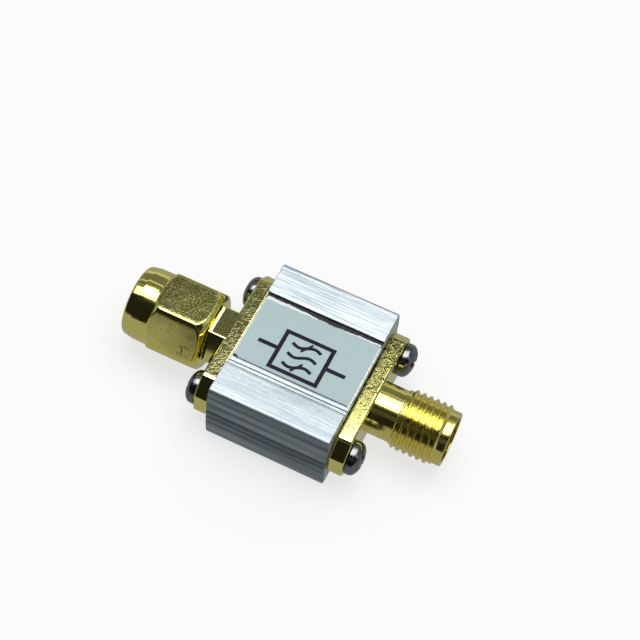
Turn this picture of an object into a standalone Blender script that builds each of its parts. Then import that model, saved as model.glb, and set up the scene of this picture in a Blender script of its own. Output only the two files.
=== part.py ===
# Inline surface acoustic wave filter.
# An extruded aluminium sleeve is closed at each end by a two-hole flange coaxial connector,
# a male one with a coupling nut at -X and a female one with an outside thread at +X.
# A small board inside carries the filter package and its matching parts.
# Metres, +Z up, X along the connectors, the viewer's side at -Y.
# The origin is at the bottom, in the middle of the overall length and width.

import math

import bmesh
import bpy
from mathutils import Matrix

MM = 0.001

# Overall clearances
SEAT_GAP = 0.04 * MM
RUNNING_GAP = 0.08 * MM

# Extruded sleeve
HOUSING_LENGTH = 12.5 * MM
HOUSING_HEIGHT = 8.4 * MM
LAND_SPAN = 15.9 * MM
SIDE_BULGE = 0.62 * MM
LAND_EDGE_ROUND = 0.22 * MM
LOWER_EDGE_ROUND = 0.60 * MM
CHANNEL_WIDTH = 9.0 * MM
CHANNEL_DEPTH = 0.55 * MM
CHANNEL_EDGE_BEVEL = 0.30 * MM
CHANNEL_EDGE_DROP = 0.07 * MM
CHANNEL_WALL = 0.85 * MM
SIDE_GROOVES = 3
SIDE_GROOVE_PITCH = 0.95 * MM
SIDE_GROOVE_WIDTH = 0.50 * MM
SIDE_GROOVE_DEPTH = 0.14 * MM
CAVITY_HALF_WIDTH = 4.95 * MM
LEDGE_DEPTH = 0.65 * MM

# Connector flanges, held by two screws each
FLANGE_LENGTH = 15.88 * MM
FLANGE_HEIGHT = 5.72 * MM
FLANGE_THICKNESS = 1.65 * MM
FLANGE_CORNER = 1.70 * MM
FLANGE_EDGE = 0.16 * MM
SCREW_SPACING = 12.24 * MM
FLANGE_HOLE_RADIUS = 1.15 * MM

# Pan head screws
SCREW_RADIUS = 0.95 * MM
SCREW_HOLE_CLEARANCE = 0.05 * MM
SCREW_REACH = 4.3 * MM
SCREW_POINT = 0.9 * MM
SCREW_HEAD_RADIUS = 1.72 * MM
SCREW_HEAD_HEIGHT = 1.3 * MM
SCREW_HEAD_SIDE = 0.39 * MM
SCREW_HEAD_EDGE = 0.08 * MM
RECESS_LENGTH = 2.4 * MM
RECESS_WIDTH = 0.48 * MM
RECESS_DEPTH = 0.62 * MM
SLOT_MOUTH = 0.7 * MM

# Coaxial line inside both connectors
LINE_RADIUS = 2.05 * MM
CONTACT_RADIUS = 0.635 * MM
POST_RADIUS = 0.38 * MM
POST_REACH = 2.1 * MM

# Female connector, lengths from the outer face of its flange
FEMALE_LENGTH = 7.85 * MM
FEMALE_SHANK_RADIUS = 2.70 * MM
FEMALE_SHANK_LENGTH = 2.45 * MM
THREAD_CREST_RADIUS = 3.12 * MM
THREAD_ROOT_RADIUS = 2.74 * MM
THREAD_PITCH = 0.7056 * MM
THREAD_RINGS = 6
THREAD_FIRST_CREST = 3.10 * MM
THREAD_FLANK_SHARE = 0.28
THREAD_CREST_SHARE = 0.06
THREAD_LEAD_RADIUS = 2.89 * MM
THREAD_LEAD_SPAN = 0.5
THREAD_RELIEF_RADIUS = 2.85 * MM
THREAD_RELIEF_STEP = 0.06 * MM
TIP_RADIUS = 2.76 * MM
TIP_ROUND = 0.14 * MM
MOUTH_RADIUS = 2.33 * MM
MOUTH_CHAMFER = 0.08 * MM
MOUTH_DEPTH = 1.9 * MM
SOCKET_BORE_RADIUS = 0.46 * MM
SOCKET_BORE_DEPTH = 2.6 * MM
SOCKET_SLOT_WIDTH = 0.16 * MM
SOCKET_SLOT_DEPTH = 1.7 * MM

# Male connector, lengths from the outer face of its flange
HEX_SHANK_LENGTH = 1.7 * MM
HEX_SHANK_CHAMFER = 0.10 * MM
SLEEVE_RADIUS = 2.5 * MM
SLEEVE_LENGTH = 4.3 * MM
RING_GROOVE_SETBACK = 1.15 * MM
RING_GROOVE_WIDTH = 0.6 * MM
RING_GROOVE_RADIUS = 2.2 * MM
FERRULE_RADIUS = 2.295 * MM
FERRULE_LENGTH = 7.65 * MM
FERRULE_CHAMFER = 0.08 * MM
PIN_RADIUS = 0.455 * MM
PIN_REACH = 2.2 * MM
PIN_POINT = 0.5 * MM

# Coupling nut
NUT_START = 1.81 * MM
NUT_LENGTH = 8.46 * MM
NUT_ACROSS_FLATS = 7.9 * MM
NUT_HEX_LENGTH = 5.65 * MM
NUT_BACK_CHAMFER = 0.65 * MM
NUT_FRONT_CHAMFER = 0.45 * MM
NUT_BACK_SHOULDER = 0.17 * MM
NUT_BACK_ROUND = 0.06 * MM
NUT_COLLAR_TAPER = 0.03 * MM
NUT_COLLAR_RADIUS = 3.78 * MM
NUT_RIM_RADIUS = 3.62 * MM
NUT_RIM_ROUND = 0.35 * MM
NUT_BORE_RADIUS = 2.88 * MM
NUT_MOUTH_CHAMFER = 0.16 * MM
NUT_RING_RADIUS = 3.0 * MM
SNAP_RING_OPENING = 0.9 * MM

# Nut gasket
GASKET_THICKNESS = 0.6 * MM
GASKET_WIDTH = 0.42 * MM
GASKET_ROUND = 0.1 * MM

# Label in the top channel
LABEL_MARGIN = 0.2 * MM
LABEL_FRONT = 3.45 * MM
LABEL_BACK = 4.2 * MM
LABEL_THICKNESS = 0.10 * MM
LABEL_TEAR = 0.12 * MM

# Board and what it carries
BOARD_THICKNESS = 1.0 * MM
BOARD_END_GAP = 0.25 * MM
TRACE_THICKNESS = 0.05 * MM
TRACE_WIDTH = 1.1 * MM
PACKAGE_SIZE = 3.8 * MM
PACKAGE_HEIGHT = 1.1 * MM
LID_SIZE = 3.2 * MM
LID_HEIGHT = 0.15 * MM
CHIP_LENGTH = 1.6 * MM
CHIP_WIDTH = 0.8 * MM
CHIP_HEIGHT = 0.75 * MM
CHIP_SPACING_ALONG = 3.1 * MM
CHIP_SPACING_ACROSS = 2.6 * MM
PACKAGE_EDGE = 0.08 * MM
LID_EDGE = 0.04 * MM
CHIP_EDGE = 0.06 * MM
SOLDER_RADIUS = 0.72 * MM
SOLDER_HEIGHT = 0.62 * MM

# Segments of round pieces
FINE_STEPS = 48
MEDIUM_STEPS = 32
SMALL_STEPS = 20

# Levels and places that follow from the sizes above
AXIS_Z = HOUSING_HEIGHT / 2
FACE_OUT = HOUSING_LENGTH / 2 + SEAT_GAP + FLANGE_THICKNESS
MALE_END = FACE_OUT + NUT_START + NUT_LENGTH
FEMALE_END = FACE_OUT + FEMALE_LENGTH
CENTRE_X = (MALE_END - FEMALE_END) / 2
SCREW_Y = SCREW_SPACING / 2
SLOT_RADIUS = SCREW_RADIUS + SCREW_HOLE_CLEARANCE
CAVITY_HALF_HEIGHT = HOUSING_HEIGHT / 2 - CHANNEL_DEPTH - CHANNEL_WALL
BOARD_TOP = AXIS_Z - POST_RADIUS - SEAT_GAP - TRACE_THICKNESS - SEAT_GAP
LEDGE_Z = BOARD_TOP - BOARD_THICKNESS - SEAT_GAP
BORE_GAP = 0.02 * MM
CUTTER_EXTRA = 1.0 * MM
INSULATOR_STEP = 0.04 * MM
REFERENCE_PLANE = FEMALE_LENGTH - MOUTH_DEPTH
LABEL_LENGTH = HOUSING_LENGTH - 2 * LABEL_MARGIN
RING_GROOVE_START = SLEEVE_LENGTH - RING_GROOVE_SETBACK

COLLECTION_NAME = "surface_acoustic_wave_filter"
CUTTER_COLLECTION_NAME = "cutters"


def clear_scene():
    for item in list(bpy.data.objects):
        bpy.data.objects.remove(item, do_unlink=True)
    for collection in list(bpy.data.collections):
        bpy.data.collections.remove(collection)


def new_collection(name):
    collection = bpy.data.collections.new(name)
    bpy.context.scene.collection.children.link(collection)
    return collection


def make_material(name, color, roughness, metallic):
    material = bpy.data.materials.new(name)
    material.use_nodes = True
    shader = material.node_tree.nodes["Principled BSDF"]
    shader.inputs["Base Color"].default_value = (*color, 1.0)
    shader.inputs["Roughness"].default_value = roughness
    shader.inputs["Metallic"].default_value = metallic
    material.diffuse_color = (*color, 1.0)
    return material


def add_object(name, mesh, material, collection=None):
    item = bpy.data.objects.new(name, mesh)
    (collection or PARTS).objects.link(item)
    item.parent = ORIGIN
    if material is not None:
        mesh.materials.append(material)
    return item


def mesh_from_bmesh(name, bm):
    bmesh.ops.recalc_face_normals(bm, faces=bm.faces)
    mesh = bpy.data.meshes.new(name)
    bm.to_mesh(mesh)
    bm.free()
    return mesh


def box_mesh(name, size, bevel=0.0):
    # A block centred on its own origin, with rounded edges where asked.
    bm = bmesh.new()
    bmesh.ops.create_cube(bm, size=1.0)
    bmesh.ops.scale(bm, vec=size, verts=bm.verts)
    if bevel > 0:
        bmesh.ops.bevel(bm, geom=bm.edges[:], offset=bevel, segments=1, affect="EDGES", profile=0.5)
    return mesh_from_bmesh(name, bm)


def smooth_round(item, angle=math.radians(35)):
    item.data.shade_smooth()
    item.data.set_sharp_from_angle(angle=angle)


def turned(name, profile, steps, material, side, collection=None):
    # A turned piece about the line axis. The profile lists (length, radius) from the outer
    # end of its outer skin, back along that skin and, where hollow, out again along the bore.
    # Lengths run outward from the flange's outer face, side is +1 at +X and -1 at -X.
    mesh = bpy.data.meshes.new(name)
    points = [(radius, 0.0, length) for length, radius in profile]
    closed = profile[0][1] > 0 or profile[-1][1] > 0
    edges = [(i, i + 1) for i in range(len(points) - 1)]
    if closed:
        edges.append((len(points) - 1, 0))
    mesh.from_pydata(points, edges, [])
    item = add_object(name, mesh, material, collection)
    item.location = (side * FACE_OUT, 0.0, AXIS_Z)
    item.rotation_euler = (0.0, side * math.pi / 2, 0.0)
    screw = item.modifiers.new("turn", "SCREW")
    screw.axis = "Z"
    screw.steps = steps
    screw.render_steps = steps
    screw.use_merge_vertices = True
    screw.merge_threshold = 1e-6
    screw.use_smooth_shade = False
    return item


def combine(item, other, operation):
    modifier = item.modifiers.new(operation.lower(), "BOOLEAN")
    modifier.operation = operation
    modifier.solver = "EXACT"
    modifier.object = other
    other.hide_render = True
    other.display_type = "WIRE"
    return modifier


def cylinder_cutter(name, radius, length, centre, steps):
    # A round cutter along X.
    bm = bmesh.new()
    bmesh.ops.create_cone(bm, cap_ends=True, segments=steps, radius1=radius, radius2=radius, depth=length)
    item = add_object(name, mesh_from_bmesh(name, bm), None, CUTTERS)
    item.rotation_euler = (0.0, math.pi / 2, 0.0)
    item.location = centre
    return item


def box_cutter(name, size, centre, turn=0.0):
    item = add_object(name, box_mesh(name, size), None, CUTTERS)
    item.location = centre
    item.rotation_euler = (turn, 0.0, 0.0)
    return item


def arc(centre, radius, start, end, count):
    # Points on a circle, angles in degrees, both ends included.
    cy, cz = centre
    angles = [math.radians(start + (end - start) * i / count) for i in range(count + 1)]
    return [(cy + radius * math.cos(a), cz + radius * math.sin(a)) for a in angles]


def mirrored(half):
    # Close a half outline, given for +Y from the +Z side to the -Z side, with its mirror image.
    return half + [(-y, z) for y, z in reversed(half)]


def soft_corner(start, corner, end, count):
    # Points past the start, up to the end, on the parabola that both lines to the corner touch.
    points = []
    for i in range(1, count + 1):
        t = i / count
        weights = ((1 - t) ** 2, 2 * t * (1 - t), t ** 2)
        points.append(tuple(sum(w * p[k] for w, p in zip(weights, (start, corner, end))) for k in (0, 1)))
    return points


def side_point(z, half_span, half_height):
    # The convex side of the sleeve: an ellipse added to the span of the lands.
    share = max(0.0, 1.0 - (z / half_height) ** 2)
    return half_span + SIDE_BULGE * math.sqrt(share)


def housing_outer():
    half_height = HOUSING_HEIGHT / 2
    half_span = LAND_SPAN / 2
    channel = CHANNEL_WIDTH / 2
    top = [
        (channel, half_height - CHANNEL_DEPTH),
        (channel, half_height - CHANNEL_EDGE_DROP),
        (channel + CHANNEL_EDGE_BEVEL, half_height),
        (half_span - LAND_EDGE_ROUND, half_height),
    ]
    upper = [(side_point(z, half_span, half_height), z)
             for z in (half_height * s for s in (0.94, 0.84, 0.70, 0.54, 0.38))]
    half = top + upper
    edge = SIDE_GROOVE_WIDTH / 2
    first = (SIDE_GROOVES - 1) / 2 * SIDE_GROOVE_PITCH
    for i in range(SIDE_GROOVES):
        centre = first - i * SIDE_GROOVE_PITCH
        skin = side_point(centre, half_span, half_height)
        half.append((skin, centre + edge))
        half.append((skin - SIDE_GROOVE_DEPTH, centre + edge * 0.45))
        half.append((skin - SIDE_GROOVE_DEPTH, centre - edge * 0.45))
        half.append((skin, centre - edge))
    # The lower edge is rounder than the upper one.
    half += [(y, -z) for y, z in reversed(upper[1:])]
    half += soft_corner(half[-1], (half_span + SIDE_BULGE / 4, -half_height),
                        (half_span - LOWER_EDGE_ROUND, -half_height), 4)
    half += [(y, -z) for y, z in reversed(top[:-1])]
    return mirrored(half)


def housing_inner():
    # The cavity, with a ledge under the board and a round screw slot at each side.
    mouth = SLOT_MOUTH / 2
    opening = math.degrees(math.asin(mouth / SLOT_RADIUS))
    slot = arc((SCREW_Y, 0.0), SLOT_RADIUS, 180 - opening, -180 + opening, 16)
    ledge = LEDGE_Z - AXIS_Z
    half = [(CAVITY_HALF_WIDTH, CAVITY_HALF_HEIGHT), (CAVITY_HALF_WIDTH, mouth)]
    half += slot
    half += [
        (CAVITY_HALF_WIDTH, -mouth),
        (CAVITY_HALF_WIDTH, ledge),
        (CAVITY_HALF_WIDTH - LEDGE_DEPTH, ledge),
        (CAVITY_HALF_WIDTH - LEDGE_DEPTH, -CAVITY_HALF_HEIGHT),
    ]
    return mirrored(half)


def extruded_outline(name, outlines, thickness, material):
    # A flat outline drawn as a filled 2D curve, extruded both ways, then made a welded mesh.
    curve = bpy.data.curves.new(name, "CURVE")
    curve.dimensions = "2D"
    curve.fill_mode = "BOTH"
    curve.extrude = thickness / 2
    for outline in outlines:
        spline = curve.splines.new("POLY")
        spline.points.add(len(outline) - 1)
        for point, (u, v) in zip(spline.points, outline):
            point.co = (u, v, 0.0, 1.0)
        spline.use_cyclic_u = True
    sketch = bpy.data.objects.new(name + "_sketch", curve)
    PARTS.objects.link(sketch)
    graph = bpy.context.evaluated_depsgraph_get()
    mesh = bpy.data.meshes.new_from_object(sketch.evaluated_get(graph))
    bm = bmesh.new()
    bm.from_mesh(mesh)
    bmesh.ops.remove_doubles(bm, verts=bm.verts, dist=1e-7)
    bmesh.ops.recalc_face_normals(bm, faces=bm.faces)
    bm.to_mesh(mesh)
    bm.free()
    mesh.name = name
    mesh.materials.clear()
    item = add_object(name, mesh, material)
    bpy.data.objects.remove(sketch, do_unlink=True)
    return item


def build_housing():
    housing = extruded_outline("housing", [housing_outer(), housing_inner()], HOUSING_LENGTH, ALUMINIUM)
    # The sketch plane's u and v become Y and Z, and its normal becomes X.
    housing.rotation_euler = (math.pi / 2, 0.0, math.pi / 2)
    housing.location = (0.0, 0.0, AXIS_Z)
    return housing


def build_label():
    # A paper label in the top channel, with a slightly torn back edge.
    half = LABEL_LENGTH / 2
    count = 14
    back = []
    for i in range(count + 1):
        x = half - LABEL_LENGTH * i / count
        wave = math.sin(i * 1.9) + 0.6 * math.sin(i * 3.1 + 0.7)
        back.append((x, LABEL_BACK + LABEL_TEAR * wave))
    outline = [(-half, -LABEL_FRONT), (half, -LABEL_FRONT)] + back
    label = extruded_outline("label", [outline], LABEL_THICKNESS, PAPER)
    floor = HOUSING_HEIGHT - CHANNEL_DEPTH
    label.location = (0.0, 0.0, floor + SEAT_GAP + LABEL_THICKNESS / 2)
    return label


def flange_plate(name, side):
    # The plate lies outside its end of the sleeve. Its four corners are cut off at 45 degrees.
    bm = bmesh.new()
    bmesh.ops.create_cube(bm, size=1.0)
    bmesh.ops.scale(bm, vec=(FLANGE_THICKNESS, FLANGE_LENGTH, FLANGE_HEIGHT), verts=bm.verts)
    corners = [e for e in bm.edges if abs(e.verts[0].co.x - e.verts[1].co.x) > FLANGE_THICKNESS / 2]
    bmesh.ops.bevel(bm, geom=corners, offset=FLANGE_CORNER, segments=1, affect="EDGES", offset_type="OFFSET")
    plate = add_object(name, mesh_from_bmesh(name, bm), GOLD)
    plate.location = (side * (FACE_OUT - FLANGE_THICKNESS / 2), 0.0, AXIS_Z)
    bevel = plate.modifiers.new("edges", "BEVEL")
    bevel.width = FLANGE_EDGE
    bevel.segments = 2
    bevel.limit_method = "ANGLE"
    bevel.angle_limit = math.radians(30)
    for end in (-1, 1):
        hole = cylinder_cutter(name + "_screw_hole", FLANGE_HOLE_RADIUS, 3 * FLANGE_THICKNESS,
                               (plate.location.x, end * SCREW_Y, AXIS_Z), MEDIUM_STEPS)
        combine(plate, hole, "DIFFERENCE")
    return plate


def thread_profile():
    # Ring grooves stand for the outside thread, listed from the tip back to the shank.
    last_crest = THREAD_FIRST_CREST + (THREAD_RINGS - 1) * THREAD_PITCH
    rise = THREAD_FLANK_SHARE * THREAD_PITCH
    crest = THREAD_CREST_SHARE * THREAD_PITCH
    lead = last_crest + (THREAD_FLANK_SHARE + 2 * THREAD_CREST_SHARE) * THREAD_PITCH
    points = [
        (FEMALE_LENGTH, TIP_RADIUS - TIP_ROUND),
        (FEMALE_LENGTH - TIP_ROUND * 0.3, TIP_RADIUS - TIP_ROUND * 0.3),
        (FEMALE_LENGTH - TIP_ROUND, TIP_RADIUS),
        (lead + THREAD_LEAD_SPAN * THREAD_PITCH, THREAD_LEAD_RADIUS),
        (lead, THREAD_LEAD_RADIUS),
    ]
    for i in range(THREAD_RINGS):
        centre = last_crest - i * THREAD_PITCH
        points.append((centre + crest, THREAD_CREST_RADIUS))
        points.append((centre - crest, THREAD_CREST_RADIUS))
        if i < THREAD_RINGS - 1:
            points.append((centre - rise - crest, THREAD_ROOT_RADIUS))
            points.append((centre - THREAD_PITCH + rise + crest, THREAD_ROOT_RADIUS))
    points.append((THREAD_FIRST_CREST - rise - crest, THREAD_ROOT_RADIUS))
    points.append((FEMALE_SHANK_LENGTH + THREAD_RELIEF_STEP, THREAD_RELIEF_RADIUS))
    points.append((FEMALE_SHANK_LENGTH, FEMALE_SHANK_RADIUS))
    return points


def build_female_body():
    body = flange_plate("female_body", 1)
    inside = -FLANGE_THICKNESS / 2
    barrel = turned("female_barrel", [(FEMALE_LENGTH, 0.0)] + thread_profile()
                    + [(inside, FEMALE_SHANK_RADIUS), (inside, 0.0)], FINE_STEPS, None, 1, CUTTERS)
    combine(body, barrel, "UNION")
    past = FEMALE_LENGTH + CUTTER_EXTRA
    behind = -FLANGE_THICKNESS - CUTTER_EXTRA
    lip = MOUTH_RADIUS + MOUTH_CHAMFER
    bore = turned("female_bore", [
        (past, 0.0), (past, lip), (FEMALE_LENGTH, lip),
        (FEMALE_LENGTH - MOUTH_CHAMFER, MOUTH_RADIUS), (REFERENCE_PLANE, MOUTH_RADIUS),
        (REFERENCE_PLANE, LINE_RADIUS), (behind, LINE_RADIUS), (behind, 0.0),
    ], FINE_STEPS, None, 1, CUTTERS)
    combine(body, bore, "DIFFERENCE")
    return body


def hexagon(name, across_flats, length, side, start, end_chamfer=0.0):
    # A hexagonal cutting bar along X with a flat on top, from start outward.
    radius = across_flats / math.sqrt(3)
    bm = bmesh.new()
    bmesh.ops.create_cone(bm, cap_ends=True, segments=6, radius1=radius, radius2=radius, depth=length)
    # One corner is turned to 30 degrees from the X axis, which becomes the vertical.
    corner = max(bm.verts, key=lambda v: v.co.x)
    spin = math.radians(30) - math.atan2(corner.co.y, corner.co.x)
    bmesh.ops.rotate(bm, cent=(0, 0, 0), verts=bm.verts, matrix=Matrix.Rotation(spin, 3, "Z"))
    if end_chamfer > 0:
        rim = [e for e in bm.edges if min(v.co.z for v in e.verts) > length / 3]
        bmesh.ops.bevel(bm, geom=rim, offset=end_chamfer, segments=1, affect="EDGES", offset_type="OFFSET")
    item = add_object(name, mesh_from_bmesh(name, bm), None, CUTTERS)
    item.rotation_euler = (0.0, side * math.pi / 2, 0.0)
    item.location = (side * (FACE_OUT + start + length / 2), 0.0, AXIS_Z)
    return item


def build_male_body():
    body = flange_plate("male_body", -1)
    inside = -FLANGE_THICKNESS / 2
    shank = hexagon("male_shank", FLANGE_HEIGHT, HEX_SHANK_LENGTH - inside, -1, inside, HEX_SHANK_CHAMFER)
    combine(body, shank, "UNION")
    groove_end = RING_GROOVE_START + RING_GROOVE_WIDTH
    sleeve = turned("male_sleeve", [
        (FERRULE_LENGTH, 0.0), (FERRULE_LENGTH, FERRULE_RADIUS - FERRULE_CHAMFER),
        (FERRULE_LENGTH - FERRULE_CHAMFER, FERRULE_RADIUS), (SLEEVE_LENGTH, FERRULE_RADIUS),
        (SLEEVE_LENGTH, SLEEVE_RADIUS), (groove_end, SLEEVE_RADIUS), (groove_end, RING_GROOVE_RADIUS),
        (RING_GROOVE_START, RING_GROOVE_RADIUS), (RING_GROOVE_START, SLEEVE_RADIUS),
        (inside, SLEEVE_RADIUS), (inside, 0.0),
    ], FINE_STEPS, None, -1, CUTTERS)
    combine(body, sleeve, "UNION")
    past = FERRULE_LENGTH + CUTTER_EXTRA
    behind = -FLANGE_THICKNESS - CUTTER_EXTRA
    bore = turned("male_bore", [(past, 0.0), (past, LINE_RADIUS), (behind, LINE_RADIUS), (behind, 0.0)],
                  FINE_STEPS, None, -1, CUTTERS)
    combine(body, bore, "DIFFERENCE")
    return body


def build_coupling_nut():
    end = NUT_START + NUT_LENGTH
    hex_end = NUT_START + NUT_HEX_LENGTH
    corner = NUT_ACROSS_FLATS / math.sqrt(3)
    past_corner = corner + SEAT_GAP
    flat = NUT_ACROSS_FLATS / 2
    groove_start = RING_GROOVE_START - RUNNING_GAP / 2
    groove_end = RING_GROOVE_START + RING_GROOVE_WIDTH + RUNNING_GAP / 2
    rear_bore = SLEEVE_RADIUS + RUNNING_GAP
    floor = SLEEVE_LENGTH + RUNNING_GAP
    outer = [
        (end, NUT_RIM_RADIUS - NUT_RIM_ROUND),
        (end - NUT_RIM_ROUND * 0.13, NUT_RIM_RADIUS - NUT_RIM_ROUND * 0.5),
        (end - NUT_RIM_ROUND * 0.5, NUT_RIM_RADIUS - NUT_RIM_ROUND * 0.13),
        (end - NUT_RIM_ROUND, NUT_RIM_RADIUS),
        (end - 3 * NUT_RIM_ROUND, NUT_COLLAR_RADIUS - NUT_COLLAR_TAPER),
        (hex_end, NUT_COLLAR_RADIUS),
        (hex_end - NUT_FRONT_CHAMFER, past_corner),
        (NUT_START + NUT_BACK_CHAMFER, past_corner),
        (NUT_START + NUT_BACK_ROUND, flat - NUT_BACK_SHOULDER),
        (NUT_START, flat - NUT_BACK_SHOULDER - NUT_BACK_ROUND),
    ]
    inner = [
        (NUT_START, rear_bore),
        (groove_start, rear_bore), (groove_start, NUT_RING_RADIUS),
        (groove_end, NUT_RING_RADIUS), (groove_end, rear_bore),
        (floor, rear_bore), (floor, NUT_BORE_RADIUS),
        (end - NUT_MOUTH_CHAMFER, NUT_BORE_RADIUS), (end, NUT_BORE_RADIUS + NUT_MOUTH_CHAMFER),
    ]
    nut = turned("coupling_nut", outer + inner, FINE_STEPS, GOLD, -1)
    bar = hexagon("coupling_nut_bar", NUT_ACROSS_FLATS, NUT_LENGTH + 2 * CUTTER_EXTRA, -1,
                  NUT_START - CUTTER_EXTRA)
    combine(nut, bar, "INTERSECT")
    return nut


def build_snap_ring():
    # A split ring in the groove of the sleeve, which keeps the nut on.
    inside = RING_GROOVE_RADIUS + SEAT_GAP
    outside = NUT_RING_RADIUS - RUNNING_GAP
    start = RING_GROOVE_START + SEAT_GAP
    end = RING_GROOVE_START + RING_GROOVE_WIDTH - SEAT_GAP
    ring = turned("snap_ring", [(end, outside), (start, outside), (start, inside), (end, inside)],
                  FINE_STEPS, SPRING_BRONZE, -1)
    gap = box_cutter("snap_ring_gap", (2 * RING_GROOVE_WIDTH, SNAP_RING_OPENING, inside),
                     (-(FACE_OUT + (start + end) / 2), 0.0, AXIS_Z - outside))
    combine(ring, gap, "DIFFERENCE")
    return ring


def build_nut_gasket():
    # A soft ring on the nut's inner floor, against which the mating barrel seals.
    start = SLEEVE_LENGTH + RUNNING_GAP + SEAT_GAP
    end = start + GASKET_THICKNESS
    outside = NUT_BORE_RADIUS - BORE_GAP
    inside = outside - GASKET_WIDTH
    return turned("nut_gasket", [
        (end, outside - GASKET_ROUND), (end - GASKET_ROUND, outside), (start + GASKET_ROUND, outside),
        (start, outside - GASKET_ROUND), (start, inside), (end, inside),
    ], FINE_STEPS, RUBBER, -1)


def build_insulators():
    outside = LINE_RADIUS - BORE_GAP
    inside = CONTACT_RADIUS + BORE_GAP
    pieces = []
    for name, side, front in (("male_insulator", -1, FERRULE_LENGTH - INSULATOR_STEP),
                              ("female_insulator", 1, REFERENCE_PLANE - INSULATOR_STEP)):
        back = -FLANGE_THICKNESS
        pieces.append(turned(name, [(front, outside), (back, outside), (back, inside), (front, inside)],
                             MEDIUM_STEPS, PTFE, side))
    return pieces


def build_male_center_pin():
    tip = FERRULE_LENGTH + PIN_REACH
    back = -FLANGE_THICKNESS
    return turned("male_center_pin", [
        (tip, 0.0), (tip, PIN_RADIUS * 0.35), (tip - PIN_POINT / 4, PIN_RADIUS * 0.72),
        (tip - PIN_POINT, PIN_RADIUS), (FERRULE_LENGTH, PIN_RADIUS), (FERRULE_LENGTH, CONTACT_RADIUS),
        (back, CONTACT_RADIUS), (back, POST_RADIUS), (back - POST_REACH, POST_RADIUS),
        (back - POST_REACH, 0.0),
    ], SMALL_STEPS, GOLD, -1)


def build_female_center_socket():
    back = -FLANGE_THICKNESS
    bottom = REFERENCE_PLANE - SOCKET_BORE_DEPTH
    socket = turned("female_center_socket", [
        (REFERENCE_PLANE, CONTACT_RADIUS), (back, CONTACT_RADIUS), (back, POST_RADIUS),
        (back - POST_REACH, POST_RADIUS), (back - POST_REACH, 0.0), (bottom, 0.0),
        (bottom, SOCKET_BORE_RADIUS), (REFERENCE_PLANE, SOCKET_BORE_RADIUS),
    ], SMALL_STEPS, GOLD, 1)
    slot_size = (2 * SOCKET_SLOT_DEPTH, 4 * CONTACT_RADIUS, SOCKET_SLOT_WIDTH)
    centre = (FACE_OUT + REFERENCE_PLANE, 0.0, AXIS_Z)
    for i, turn in enumerate((math.radians(45), math.radians(135))):
        slot = box_cutter("socket_slot_%d" % i, slot_size, centre, turn)
        combine(socket, slot, "DIFFERENCE")
    return socket


def screw_profile():
    # From the top of the domed head back to the point, lengths from the flange's outer face.
    seat = SEAT_GAP
    top = seat + SCREW_HEAD_HEIGHT
    radius = SCREW_HEAD_RADIUS
    shoulder = seat + SCREW_HEAD_SIDE
    dome = [(shoulder + (top - shoulder) * math.cos(a), radius * math.sin(a) ** 0.8)
            for a in (math.radians(d) for d in (18, 36, 52, 66, 79))]
    end = seat - SCREW_REACH - FLANGE_THICKNESS
    return ([(top, 0.0)] + dome + [
        (shoulder, radius), (seat + SCREW_HEAD_EDGE, radius), (seat, radius - SCREW_HEAD_EDGE),
        (seat, SCREW_RADIUS), (end + SCREW_POINT, SCREW_RADIUS),
        (end, 0.15 * SCREW_RADIUS), (end, 0.0),
    ])


def build_screws():
    for side, connector in ((-1, "male"), (1, "female")):
        for end, place in ((-1, "front"), (1, "back")):
            name = "%s_%s_screw" % (connector, place)
            screw = turned(name, screw_profile(), SMALL_STEPS, STEEL, side)
            screw.location.y = end * SCREW_Y
            top = side * (FACE_OUT + SEAT_GAP + SCREW_HEAD_HEIGHT)
            tilt = math.radians(20 + 25 * end * side)
            for i in range(2):
                arm = box_cutter("%s_recess_%d" % (name, i), (2 * RECESS_DEPTH, RECESS_LENGTH, RECESS_WIDTH),
                                 (top, end * SCREW_Y, AXIS_Z), tilt + i * math.pi / 2)
                combine(screw, arm, "DIFFERENCE")


def place_box(name, size, centre, material, bevel=0.0):
    item = add_object(name, box_mesh(name, size, bevel), material)
    item.location = centre
    return item


def build_board():
    length = HOUSING_LENGTH - 2 * BOARD_END_GAP
    width = 2 * (CAVITY_HALF_WIDTH - SEAT_GAP)
    place_box("circuit_board", (length, width, BOARD_THICKNESS),
              (0.0, 0.0, BOARD_TOP - BOARD_THICKNESS / 2), BOARD)
    part_floor = BOARD_TOP + SEAT_GAP
    place_box("saw_filter_package", (PACKAGE_SIZE, PACKAGE_SIZE, PACKAGE_HEIGHT),
              (0.0, 0.0, part_floor + PACKAGE_HEIGHT / 2), CERAMIC, PACKAGE_EDGE)
    lid_floor = part_floor + PACKAGE_HEIGHT + SEAT_GAP
    place_box("saw_filter_lid", (LID_SIZE, LID_SIZE, LID_HEIGHT),
              (0.0, 0.0, lid_floor + LID_HEIGHT / 2), LID, LID_EDGE)
    # A trace runs from near each end of the board to the filter package.
    outer_end = length / 2 - BOARD_END_GAP
    inner_end = PACKAGE_SIZE / 2 + 3 * SEAT_GAP
    post_end = HOUSING_LENGTH / 2 + SEAT_GAP - POST_REACH
    solder_floor = part_floor + TRACE_THICKNESS + SEAT_GAP
    for side, line in ((-1, "input"), (1, "output")):
        place_box(line + "_trace", (outer_end - inner_end, TRACE_WIDTH, TRACE_THICKNESS),
                  (side * (outer_end + inner_end) / 2, 0.0, part_floor + TRACE_THICKNESS / 2), COPPER)
        build_solder(line + "_solder_joint", side * post_end, solder_floor)
        for end, kind, material in ((-1, "capacitor", CAPACITOR), (1, "inductor", INDUCTOR)):
            place_box("%s_%s" % (line, kind), (CHIP_LENGTH, CHIP_WIDTH, CHIP_HEIGHT),
                      (side * CHIP_SPACING_ALONG, end * CHIP_SPACING_ACROSS, part_floor + CHIP_HEIGHT / 2),
                      material, CHIP_EDGE)


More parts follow.
